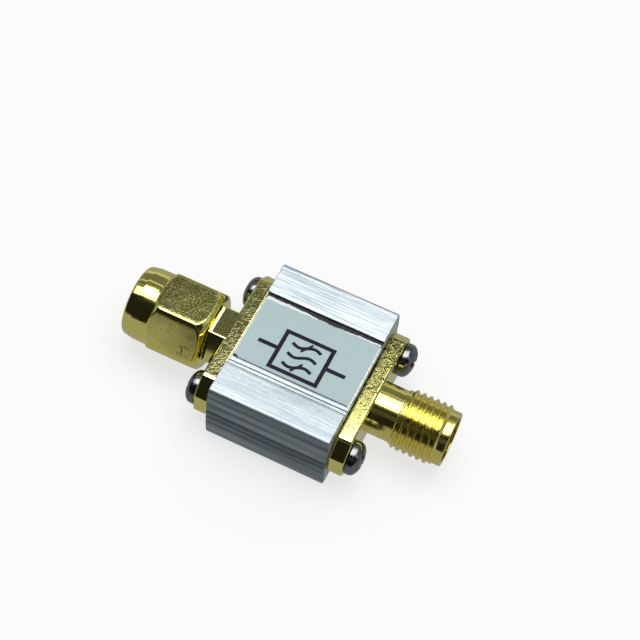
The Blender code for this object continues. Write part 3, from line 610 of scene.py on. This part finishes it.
def buildPrint():
    # The usual sign for a band filter: three waves in a box, the upper and the lower one struck through. A thin
    # stroke along the front edge is painted shadow.
    p = printed
    cx, cy = p["boxCentre"]
    bx, by = p["boxHalf"]
    strokes = []
    t = np.linspace(-0.5, 0.5, 41)
    for row, crossed in zip(p["waveRows"], (True, False, True)):
        wave = np.column_stack([cx + t * p["waveWidth"], row + p["waveHeight"] * 0.5 * np.sin(2 * np.pi * t)])
        strokes.append((wave, p["stroke"] * 0.8))
        if crossed:
            slash = np.column_stack([cx + np.array([-0.40, 0.40]), row + np.array([-0.60, 0.60])])
            strokes.append((slash, p["stroke"] * 0.55))
    s = p["stroke"] / 2
    for a, b in (((-bx - s, -by), (bx + s, -by)), ((-bx - s, by), (bx + s, by)), ((-bx, -by), (-bx, by)),
                 ((bx, -by), (bx, by))):
        strokes.append((np.array([(cx + a[0], cy + a[1]), (cx + b[0], cy + b[1])]), p["stroke"]))
    for side in (-1, 1):
        strokes.append((np.array([(cx + side * bx, cy), (cx + side * p["lead"], cy)]), p["stroke"]))
    # Painted shadow: a thin dark stroke along the label's front edge, in the sign's ink.
    strokes.append((np.array([(-6.0, -3.44), (5.9, -3.44)]), 0.05))
    strokes.append((np.array([(-6.08, -3.36), (-5.9, -3.30), (-5.72, -3.36), (-5.62, -3.30)]), 0.17))
    points, faces = [], []
    for path, width in strokes:
        piece, quads = inkStroke(path, width)
        piece[:, 2] += 0.0015 * len(points)
        faces += (quads + sum(len(q) for q in points)).tolist()
        points.append(piece)
    meshPiece("labelSignAndEdgeShadow", np.vstack(points), faces, labelInkAndEdgeShadow, "filter_body", None)


buildPrint()
print("label ready")


# Flanges

flange = {
    "halfY": 7.94,
    "halfZ": 2.86,
    "cut": 1.70,
    "thickness": 1.65,
    "cornerRound": 0.34,
    "edge": 0.22,
}


def flangeRing(inset):
    # The cut-cornered rectangle drawn in by an inset, with its corners rounded.
    f = flange
    y, z = f["halfY"] - inset, f["halfZ"] - inset
    c = f["cut"] - inset * (2 - math.sqrt(2))
    corners = [(y, z - c), (y, c - z), (y - c, -z), (c - y, -z),
               (-y, c - z), (-y, z - c), (c - y, z), (y - c, z)]
    return roundCorners(corners, max(f["cornerRound"] - 0.5 * inset, 0.05))


def buildFlange(name, side, node, material):
    # The ring of the outline at each step across the thickness, closed to a round hole on both faces.
    f = flange
    e = f["edge"]
    quarter = np.linspace(0, np.pi / 2, 6)
    full = f["thickness"]
    depth = np.concatenate([[0, 0], e * (1 - np.cos(quarter)), [e * 1.2], [full - e * 1.2],
                            full - e * (1 - np.cos(quarter[::-1])), [full, full]])
    inset = np.concatenate([[0, e * 1.2], e * (1 - np.sin(quarter)), [0], [0],
                            e * (1 - np.sin(quarter[::-1])), [e * 1.2, 0]])
    rings = np.stack([flangeRing(i) for i in inset])
    angle = np.arctan2(rings[1, :, 1], rings[1, :, 0])
    hole = lineBore * np.stack([np.cos(angle), np.sin(angle)], axis=-1)
    rings[0] = hole
    rings[-1] = hole
    x = np.broadcast_to(alongLine(side, -depth)[:, None, None], rings.shape[:2] + (1,))
    points = np.concatenate([x, rings[..., :1], rings[..., 1:] + lineZ], axis=-1)
    return meshPiece(name, points, gridFaces(len(rings), rings.shape[1], True, True), material, "filter_body",
                     node)


buildFlange("plugFlange", -1, "male_body", goldPlug)
buildFlange("jackFlange", 1, "female_body", goldMilled)
print("flanges ready")


# Jack barrel

jack = {
    "length": 7.85,
    "shankRadius": 2.70,
    "shankLength": 2.45,
    "crest": 3.11,
    "root": 2.83,
    "pitch": 0.7056,
    "firstCrest": 3.10,
    "threadStart": 2.55,
    "threadEnd": 7.05,
    "crestAngle": math.radians(31),
    "tipRadius": 2.76,
    "mouthRadius": 2.33,
    "mouthDepth": 1.9,
}


def threadShare(turns, flat):
    # 1 on the crest and 0 in the root of a thread with flat crests and roots, from a count of turns.
    wave = np.abs(turns - np.round(turns)) * 2
    return np.clip((1 - flat - wave) / (1 - 2 * flat), 0, 1)


def buildJackBarrel():
    # Radius over length and angle: the turned skin, with a helix that grows in and dies out over half a turn.
    # A smooth step rounds the thread's crests and roots.
    j = jack
    s = np.concatenate([np.linspace(-0.3, 0.0, 3), np.linspace(0.02, j["shankLength"] - 0.02, 8),
                        np.linspace(j["shankLength"], j["threadEnd"], 300),
                        np.linspace(j["threadEnd"] + 0.02, j["length"] - 0.16, 12)])
    steps = 200
    angle = np.linspace(0, 2 * np.pi, steps, endpoint=False)
    length, a = np.meshgrid(s, angle, indexing="ij")
    turns = (length - j["firstCrest"]) / j["pitch"] - (a - j["crestAngle"]) / (2 * np.pi)
    grow = np.clip((length - j["threadStart"]) / 0.30, 0, 1) * np.clip((j["threadEnd"] - length) / 0.35, 0, 1)
    tip = np.clip((length - 6.75) / 0.3, 0, 1)
    core = j["root"] * (1 - tip) + (j["tipRadius"] + 0.02) * tip
    base = np.where(length < j["shankLength"], j["shankRadius"], core)
    share = threadShare(turns, 0.04)
    radius = base + (j["crest"] - j["root"]) * share * share * (3 - 2 * share) * grow
    skin = ring(alongLine(1, length), radius, a)
    t, m = j["tipRadius"], j["mouthRadius"]
    L, d = j["length"], j["mouthDepth"]
    inner = roundCorners([(L - 0.16, t), (L, t), (L, m), (L - d, m), (L - d, lineBore), (-1.65, lineBore)],
                         [0.0, 0.13, 0.07, 0.03, 0.02, 0.0], closed=False)[7:-7]
    s2, a2 = np.meshgrid(inner[:, 0], angle, indexing="ij")
    inside = ring(alongLine(1, s2), np.broadcast_to(inner[:, 1:], s2.shape), a2)
    end = circle(1, -1.6, lineBore, angle)
    points = np.concatenate([skin, inside, end])
    return meshPiece("jackBarrel", points, gridFaces(len(points), steps, False, True), goldTurned,
                     "filter_body", None)


buildJackBarrel()
print("jack barrel ready")


# Plug shank and sleeve

plug = {
    "shankLength": 1.7,
    "acrossFlats": 5.72,
    "shankChamfer": 0.06,
    "riseLength": 0.25,
    "rise": 0.06,
    "cornerPower": 95.0,
    "sleeveRadius": 2.5,
    "groove": (3.15, 3.75),
    "grooveRadius": 2.2,
    "sleeveLength": 4.3,
    "ferruleRadius": 2.295,
    "ferruleLength": 7.65,
}


def hexRadius(angle, acrossFlats, sharpness):
    # A hexagon with a flat on top in polar form: the six faces' distances joined by a high power mean,
    # which rounds the corners a little.
    faces = np.radians(np.arange(6) * 60.0 + 30.0)
    lean = np.clip(np.cos(angle[..., None] - faces), 0, None)
    return acrossFlats / 2 / (lean ** sharpness).sum(axis=-1) ** (1 / sharpness)


def hexAngles(perFlat):
    # Angles packed closely towards the corners, where the surface turns.
    t = (np.arange(perFlat) + 0.5) / perFlat * 2 - 1
    local = 30.0 * np.sin(np.pi / 2 * t)
    return np.radians((np.arange(6)[:, None] * 60.0 + 30.0 + local[None, :]).reshape(-1))


def buildPlugShank():
    # The hexagon at each step of length, drawn in evenly at the end, then closed on to the round sleeve.
    p = plug
    angle = hexAngles(28)
    c, r, L = p["shankChamfer"], p["rise"], p["shankLength"]
    up = L - c - p["riseLength"]
    s = np.array([-0.2, 0.0, 0.1, up - 0.08, up - 0.06, up, up + 0.06,
                  L - c - 0.06, L - c, L - 0.3 * c, L, L])
    drawn = np.array([0, 0, 0, 0, 0, -0.1 * r, -0.25 * r, -r, -r, 0.3 * c - r, c - r, c + 0.05])
    length, a = np.meshgrid(s, angle, indexing="ij")
    radius = hexRadius(a, 2.0, p["cornerPower"]) * (p["acrossFlats"] / 2 - drawn[:, None])
    rows = ring(alongLine(-1, length), radius, a)
    last = circle(-1, L, p["sleeveRadius"] - 0.05, angle)
    points = np.concatenate([rows, last])
    return meshPiece("plugShank", points, gridFaces(len(points), len(angle), False, True), goldShank,
                     "filter_body", None)


def buildPlugSleeve():
    # The round sleeve with the groove for the split ring, and the narrower ferrule beyond it.
    p = plug
    r, f, g = p["sleeveRadius"], p["ferruleRadius"], p["grooveRadius"]
    near, far = p["groove"]
    middle, end = p["sleeveLength"], p["ferruleLength"]
    profile = [(-0.5, r), (near, r), (near, g), (far, g), (far, r), (middle, r), (middle, f), (end, f),
               (end, lineBore), (-0.5, lineBore)]
    turnedPiece("plugSleeve", profile, -1, goldTurned, "filter_body", None)


buildPlugShank()
buildPlugSleeve()
turnedPiece("splitRing", [(3.19, 2.24), (3.71, 2.24), (3.71, 2.92), (3.19, 2.92)], -1, springBronze,
            "filter_body", "snap_ring")
print("plug body ready")


# Coupling nut

nut = {
    "start": 1.81,
    "length": 8.46,
    "acrossFlats": 7.9,
    "hexLength": 5.65,
    "backChamfer": 0.65,
    "backRadius": 3.72,
    "frontChamfer": 0.45,
    "cornerPower": 42.0,
    "collarRadius": 3.78,
    "rimRadius": 3.62,
    "rimRound": 0.35,
    "boreRadius": 2.88,
    "threadDepth": 0.20,
    "pitch": 0.7056,
    "mouthChamfer": 0.16,
}


def buildNut():
    # Outside: the smaller of a hexagon and a turned limit at each length, with the edge between them a
    # little soft. Inside: a bore with a helical groove.
    n = nut
    start, end, hexEnd = n["start"], n["start"] + n["length"], n["start"] + n["hexLength"]
    half = n["acrossFlats"] / 2
    back, collar, rim = n["backRadius"], n["collarRadius"], n["rimRadius"]
    backCut, frontCut, rimRound = n["backChamfer"], n["frontChamfer"], n["rimRound"]
    keys = np.array([(start, back - 0.05), (start + 0.015, back - 0.01), (start + 0.06, back + 0.06),
                     (start + 0.5 * backCut, 4.14), (start + backCut, 4.38), (start + 1.8 * backCut, 4.60),
                     (hexEnd - 2.2 * frontCut, 4.60), (hexEnd - 1.2 * frontCut, 4.42),
                     (hexEnd - 0.5 * frontCut, 4.16), (hexEnd - 0.04, collar + 0.07),
                     (hexEnd + 0.06, collar + 0.02), (hexEnd + 0.25, collar),
                     (end - 3 * rimRound, collar - 0.03), (end - rimRound, rim),
                     (end - 0.5 * rimRound, rim - 0.13 * rimRound),
                     (end - 0.13 * rimRound, rim - 0.5 * rimRound), (end, rim - rimRound)])
    s = np.unique(np.concatenate([keys[:, 0], np.linspace(start, start + 1.0, 44),
                                  np.linspace(start + 1.0, hexEnd - 0.8, 14),
                                  np.linspace(hexEnd - 0.8, hexEnd + 0.3, 44),
                                  np.linspace(end - 1.3, end, 40)]))
    angle = hexAngles(44)
    length, a = np.meshgrid(s, angle, indexing="ij")
    limit = np.interp(length, keys[:, 0], keys[:, 1])
    hexagon = hexRadius(a, n["acrossFlats"], n["cornerPower"])
    soft = 0.022
    radius = -soft * np.logaddexp(-limit / soft, -hexagon / soft)
    outside = ring(alongLine(-1, length), radius, a)
    depth = np.linspace(end - n["mouthChamfer"], 4.9, 220)
    d, a2 = np.meshgrid(depth, angle, indexing="ij")
    turns = d / n["pitch"] + a2 / (2 * np.pi)
    grow = np.clip((d - 5.1) / 0.4, 0, 1)
    bore = n["boreRadius"]
    inside = ring(alongLine(-1, d), bore + n["threadDepth"] * threadShare(turns, 0.14) * grow, a2)
    lip = circle(-1, end, bore + n["threadDepth"] + n["mouthChamfer"] * 0.6, angle)
    profile = [(4.9, bore), (4.38, bore), (4.38, 2.58), (3.79, 2.58), (3.79, 3.0), (3.11, 3.0), (3.11, 2.58),
               (start, 2.58), (start, back - 0.05)]
    floorLine = roundCorners(profile, 0.03, closed=False)[6:-7]
    s3, a3 = np.meshgrid(floorLine[:, 0], angle, indexing="ij")
    floor = ring(alongLine(-1, s3), np.broadcast_to(floorLine[:, 1:], s3.shape), a3)
    points = np.concatenate([outside, lip, inside, floor])
    return meshPiece("couplingNut", points, gridFaces(len(points), len(angle), True, True), goldNut, "nut",
                     "coupling_nut")


nutLook = dict(goldLook, wornAbove=8.12, wornShare=0.03, scratched=False, scuffs=(-10.0, -3.9, 5.3),
               scratch=(0.10, 0.09, 0.03),
               deep=(0.32, 0.31, 0.08), middle=(0.58, 0.56, 0.17), light=(0.86, 0.84, 0.42), speckCells=5.5,
               bumpDepth=0.014, smooth=0.07, rough=0.15)
goldNut = goldMaterial("goldNut", nutLook, (6.0, 0.8, 0.8))
buildNut()
print("coupling nut ready")


# Line pieces seen in the ports

turnedPiece("nutGasket", [(4.42, 2.44), (5.02, 2.44), (5.02, 2.86), (4.42, 2.86)], -1, gasketRubber, "nut",
            "nut_gasket", edge=0.12)
turnedPiece("plugInsulator", [(-1.65, 0.655), (7.61, 0.655), (7.61, 2.03), (-1.65, 2.03)], -1, linePlastic,
            "filter_body", "male_insulator")
turnedPiece("jackInsulator", [(-1.65, 0.655), (5.91, 0.655), (5.91, 2.03), (-1.65, 2.03)], 1, linePlastic,
            "filter_body", "female_insulator")
pinProfile = [(-3.75, 0.0), (-3.75, 0.38), (-1.65, 0.38), (-1.65, 0.635), (7.65, 0.635), (7.65, 0.455),
              (9.35, 0.455), (9.78, 0.27), (9.85, 0.0)]
turnedPiece("plugPin", pinProfile, -1, goldTurned, "filter_body", "male_center_pin",
            closed=False, steps=64)
print("line pieces ready")


# Screws

screw = {
    "headRadius": 1.72,
    "headHeight": 1.3,
    "side": 0.39,
    "seat": 0.04,
    "recessHalfLength": 1.2,
    "recessHalfWidth": 0.24,
    "recessDepth": 0.62,
    "shank": 0.95,
    "reach": 5.9,
}


def buildScrew(name, side, end, node):
    # A dome over radius and angle, with a cross pressed into it. The depth falls off softly past each
    # arm's edge.
    w = screw
    tilt = math.radians(20 + 25 * end * side)
    steps = 192
    angle = np.linspace(0, 2 * np.pi, steps, endpoint=False)
    share = np.linspace(0.004, 1, 64) ** 0.9
    radius, a = np.meshgrid(share, angle, indexing="ij")
    top = w["seat"] + w["headHeight"]
    rise = top - w["seat"] - w["side"]
    height = w["seat"] + w["side"] + rise * np.sqrt(np.clip(1 - radius ** 2.5, 0, 1))
    radius = radius * w["headRadius"]
    u, v = radius * np.cos(a - tilt), radius * np.sin(a - tilt)
    armLong, armWide = w["recessHalfLength"], w["recessHalfWidth"]
    arms = [np.minimum((armLong - np.abs(p)) / 0.10, (armWide - np.abs(q)) / 0.05) for p, q in ((u, v), (v, u))]
    press = np.clip(np.maximum(*arms), 0, 1)
    press = press * press * (3 - 2 * press)
    sloped = np.clip(1.2 - np.sqrt(u * u + v * v) / w["recessHalfLength"] * 0.9, 0.25, 1)
    height = height - press * w["recessDepth"] * sloped
    head = ring(alongLine(side, height), radius, a)
    seat, wide, shank, tip = w["seat"], w["headRadius"], w["shank"], -w["reach"]
    profile = [(seat + w["side"], wide), (seat, wide), (seat, shank), (tip + 0.9, shank), (tip, 0.14),
               (tip, 0.0)]
    skirt = roundCorners(profile, [0, 0.08, 0.03, 0.1, 0.03, 0], closed=False)
    s, a2 = np.meshgrid(skirt[6:, 0], angle, indexing="ij")
    body = ring(alongLine(side, s), np.broadcast_to(skirt[6:, 1:], s.shape), a2)
    points = np.concatenate([head, body]) + np.array([0.0, end * 6.12, 0.0])
    return meshPiece(name, points, gridFaces(len(points), steps, False, True), screwNickel, "filter_body",
                     node)


for side, connector, node in ((-1, "plug", "male"), (1, "jack", "female")):
    for end, place in ((-1, "front"), (1, "back")):
        buildScrew(connector + place.capitalize() + "Screw", side, end, "%s_%s_screw" % (node, place))
print("screws ready")


# Frame nodes that keep their own shape

carried = {
    "female_center_socket": goldTurned,
    "circuit_board": boardMask,
    "saw_filter_package": packageCeramic,
    "saw_filter_lid": lidPlate,
    "input_trace": tinnedTrace,
    "output_trace": tinnedTrace,
    "input_solder_joint": brightSolder,
    "output_solder_joint": brightSolder,
    "input_capacitor": capacitorCeramic,
    "output_capacitor": capacitorCeramic,
    "input_inductor": inductorFerrite,
    "output_inductor": inductorFerrite,
}
for nodeName, material in carried.items():
    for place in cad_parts[nodeName].material_slots:
        place.material = material
print("frame nodes dressed")


# Floor, light and camera

studio = {
    "floorSize": 3.0,
    "floorColor": (0.94, 0.94, 0.945),
    "skyFill": 0.42,
    "boxSize": (0.43, 0.385),
    "boxDistance": 0.50,
    "boxBack": 8.5,
    "boxRight": 2.0,
    "boxTurn": 30.0,
    "boxLevel": 3.1,
    "tableLevel": 0.37,
    "tableHalf": 0.6,
    "tableFront": 1.4,
}


def buildFloor():
    # A level sheet. Seen by the camera it is lifted towards white and keeps its shadow.
    material, nodes, links, shader = shaderTree("floorPaper")
    shader.inputs["Base Color"].default_value = (*studio["floorColor"], 1.0)
    shader.inputs["Roughness"].default_value = 0.9
    shader.inputs["Specular IOR Level"].default_value = 0.1
    glow = nodes.new("ShaderNodeEmission")
    glow.inputs["Strength"].default_value = 1.0
    path = nodes.new("ShaderNodeLightPath")
    share = nodes.new("ShaderNodeMath")
    share.operation = "MULTIPLY"
    share.inputs[1].default_value = 0.7
    links.new(path.outputs["Is Camera Ray"], share.inputs[0])
    mix = nodes.new("ShaderNodeMixShader")
    links.new(share.outputs["Value"], mix.inputs["Fac"])
    links.new(shader.outputs["BSDF"], mix.inputs[1])
    links.new(glow.outputs["Emission"], mix.inputs[2])
    links.new(mix.outputs["Shader"], nodes["Material Output"].inputs["Surface"])
    half = studio["floorSize"] / 2
    mesh = bpy.data.meshes.new("floor")
    corners = [(-half, -half, 0), (half, -half, 0), (half, half, 0), (-half, half, 0)]
    mesh.from_pydata(corners, [], [(0, 1, 2, 3)])
    mesh.materials.append(material)
    floor = bpy.data.objects.new("floor", mesh)
    bpy.context.scene.collection.objects.link(floor)


def buildWorld():
    # White to the camera and in mirror-like metal, and a dim fill for everything else.
    world = bpy.data.worlds.new("studioSky")
    bpy.context.scene.world = world
    world.use_nodes = True
    nodes, links = world.node_tree.nodes, world.node_tree.links
    fill = nodes["Background"]
    fill.inputs["Color"].default_value = (1, 1, 1, 1)
    fill.inputs["Strength"].default_value = studio["skyFill"]
    white = nodes.new("ShaderNodeBackground")
    white.inputs["Strength"].default_value = 1.0
    path = nodes.new("ShaderNodeLightPath")
    seen = None
    for kind in ("Is Camera Ray", "Is Glossy Ray", "Is Transmission Ray"):
        if seen is None:
            seen = path.outputs[kind]
            continue
        most = nodes.new("ShaderNodeMath")
        most.operation = "MAXIMUM"
        links.new(seen, most.inputs[0])
        links.new(path.outputs[kind], most.inputs[1])
        seen = most.outputs["Value"]
    mix = nodes.new("ShaderNodeMixShader")
    links.new(seen, mix.inputs["Fac"])
    links.new(fill.outputs["Background"], mix.inputs[1])
    links.new(white.outputs["Background"], mix.inputs[2])
    links.new(mix.outputs["Shader"], nodes["World Output"].inputs["Surface"])


def aroundLine(across, along):
    # A direction from two angles in degrees: across runs from the front horizon over the top to the back
    # horizon, along leans from the YZ plane towards +X.
    t, p = np.radians(across), np.radians(along)
    return np.stack([np.sin(p) + 0 * t, -np.cos(p) * np.cos(t), np.cos(p) * np.sin(t)], axis=-1)


def softBox(name, across, along, distance, size, level, turn):
    # A lamp whose face has the given brightness, where 1 is white, turned in its own plane.
    data = bpy.data.lights.new(name, "AREA")
    data.shape = "RECTANGLE"
    data.size, data.size_y = size
    data.energy = level * math.pi * size[0] * size[1]
    lamp = bpy.data.objects.new(name, data)
    lamp.location = (distance * aroundLine(np.array(across), np.array(along))).tolist()
    bpy.context.scene.collection.objects.link(lamp)
    away = (lamp.location - Vector((0, 0, 0.004))).normalized()
    ahead = away.cross(Vector((1, 0, 0))).normalized()
    square = Matrix((ahead.cross(away), ahead, away)).transposed()
    lamp.rotation_euler = (square @ Matrix.Rotation(math.radians(turn), 3, "Z")).to_euler()
    return lamp


flags = [
    # name, angles across the line, angles along it, distance in metres, brightness
    ("frontFarLeft", (1.5, 71), (-89, -16), 0.25, 0.015),
    ("frontLeft", (-6, 71), (-16, -10), 0.25, 0.015),
    ("frontRightLow", (-6, 34), (-10, 89), 0.25, 0.015),
    ("frontRightMiddle", (34, 52), (-10, 89), 0.25, 0.07),
    ("frontRightHigh", (52, 71), (-10, 89), 0.25, 0.02),
    ("frontTop", (60, 76), (-89, 89), 0.60, 0.015),
    ("leftLow", (76, 103), (-42, -6), 0.60, 2.6),
    ("leftLowFar", (76, 103), (-89, -42), 0.60, 0.30),
    ("leftHigh", (103, 116), (-89, -6), 0.60, 0.24),
    ("middleHigh", (106, 115), (-6, 12), 0.60, 0.40),
    ("rightLow", (76, 103), (12, 70), 0.60, 0.60),
    ("rightHigh", (103, 116), (12, 89), 0.60, 0.14),
    ("backNear", (116, 128), (-89, 89), 0.60, 0.15),
    ("backStreak", (128, 133), (-89, 89), 0.60, 0.75),
    ("backFlag", (133, 166), (-89, 89), 0.60, 0.18),
    ("backLow", (166, 180), (-89, 89), 0.60, 0.60),
]


def glowPiece(name, points, faces, level):
    # A glowing sheet that only mirror-like surfaces see. It sets how bright that part of the room is.
    material, nodes, links, shader = shaderTree(name)
    nodes.remove(shader)
    glow = nodes.new("ShaderNodeEmission")
    glow.inputs["Strength"].default_value = level
    links.new(glow.outputs["Emission"], nodes["Material Output"].inputs["Surface"])
    mesh = bpy.data.meshes.new(name)
    mesh.from_pydata(points.reshape(-1, 3).tolist(), [], faces)
    mesh.materials.append(material)
    item = bpy.data.objects.new(name, mesh)
    bpy.context.scene.collection.objects.link(item)
    item.visible_camera = False
    item.visible_diffuse = False
    item.visible_shadow = False
    item.visible_transmission = False


def buildFlag(name, across, along, distance, level):
    # A patch of a sphere round the object.
    t, p = np.meshgrid(np.linspace(*across, 25), np.linspace(*along, 25), indexing="ij")
    glowPiece(name, distance * aroundLine(t, p), gridFaces(25, 25).tolist(), level)


def buildTableCard():
    # The table as the metal mirrors it, a hair over the floor.
    h = studio["tableHalf"]
    front = -studio["tableFront"]
    corners = np.array([(-h, front, 0.0003), (h, front, 0.0003), (h, h, 0.0003), (-h, h, 0.0003)])
    glowPiece("tableCard", corners, [(0, 1, 2, 3)], studio["tableLevel"])


view = {
    "place": (29.525, -81.338, 148.264),
    "right": (0.90066, 0.42782, 0.07604),
    "up": (-0.39892, 0.74473, 0.53501),
    "back": (0.17226, -0.51220, 0.84142),
    "lens": 96.841,
}


def buildCamera():
    data = bpy.data.cameras.new("photoView")
    data.sensor_width = 36.0
    data.lens = view["lens"]
    data.clip_start = 0.005
    data.clip_end = 10.0
    camera = bpy.data.objects.new("photoView", data)
    bpy.context.scene.collection.objects.link(camera)
    turn = Matrix((view["right"], view["up"], view["back"])).transposed().to_4x4()
    camera.matrix_world = Matrix.Translation([v * mm for v in view["place"]]) @ turn
    bpy.context.scene.camera = camera


buildFloor()
buildWorld()
softBox("overheadBox", 90 + studio["boxBack"], studio["boxRight"], studio["boxDistance"], studio["boxSize"],
        studio["boxLevel"], studio["boxTurn"])
for flag in flags:
    buildFlag(*flag)
buildTableCard()
buildCamera()
bpy.context.scene.view_settings.view_transform = "Standard"
print("studio ready")
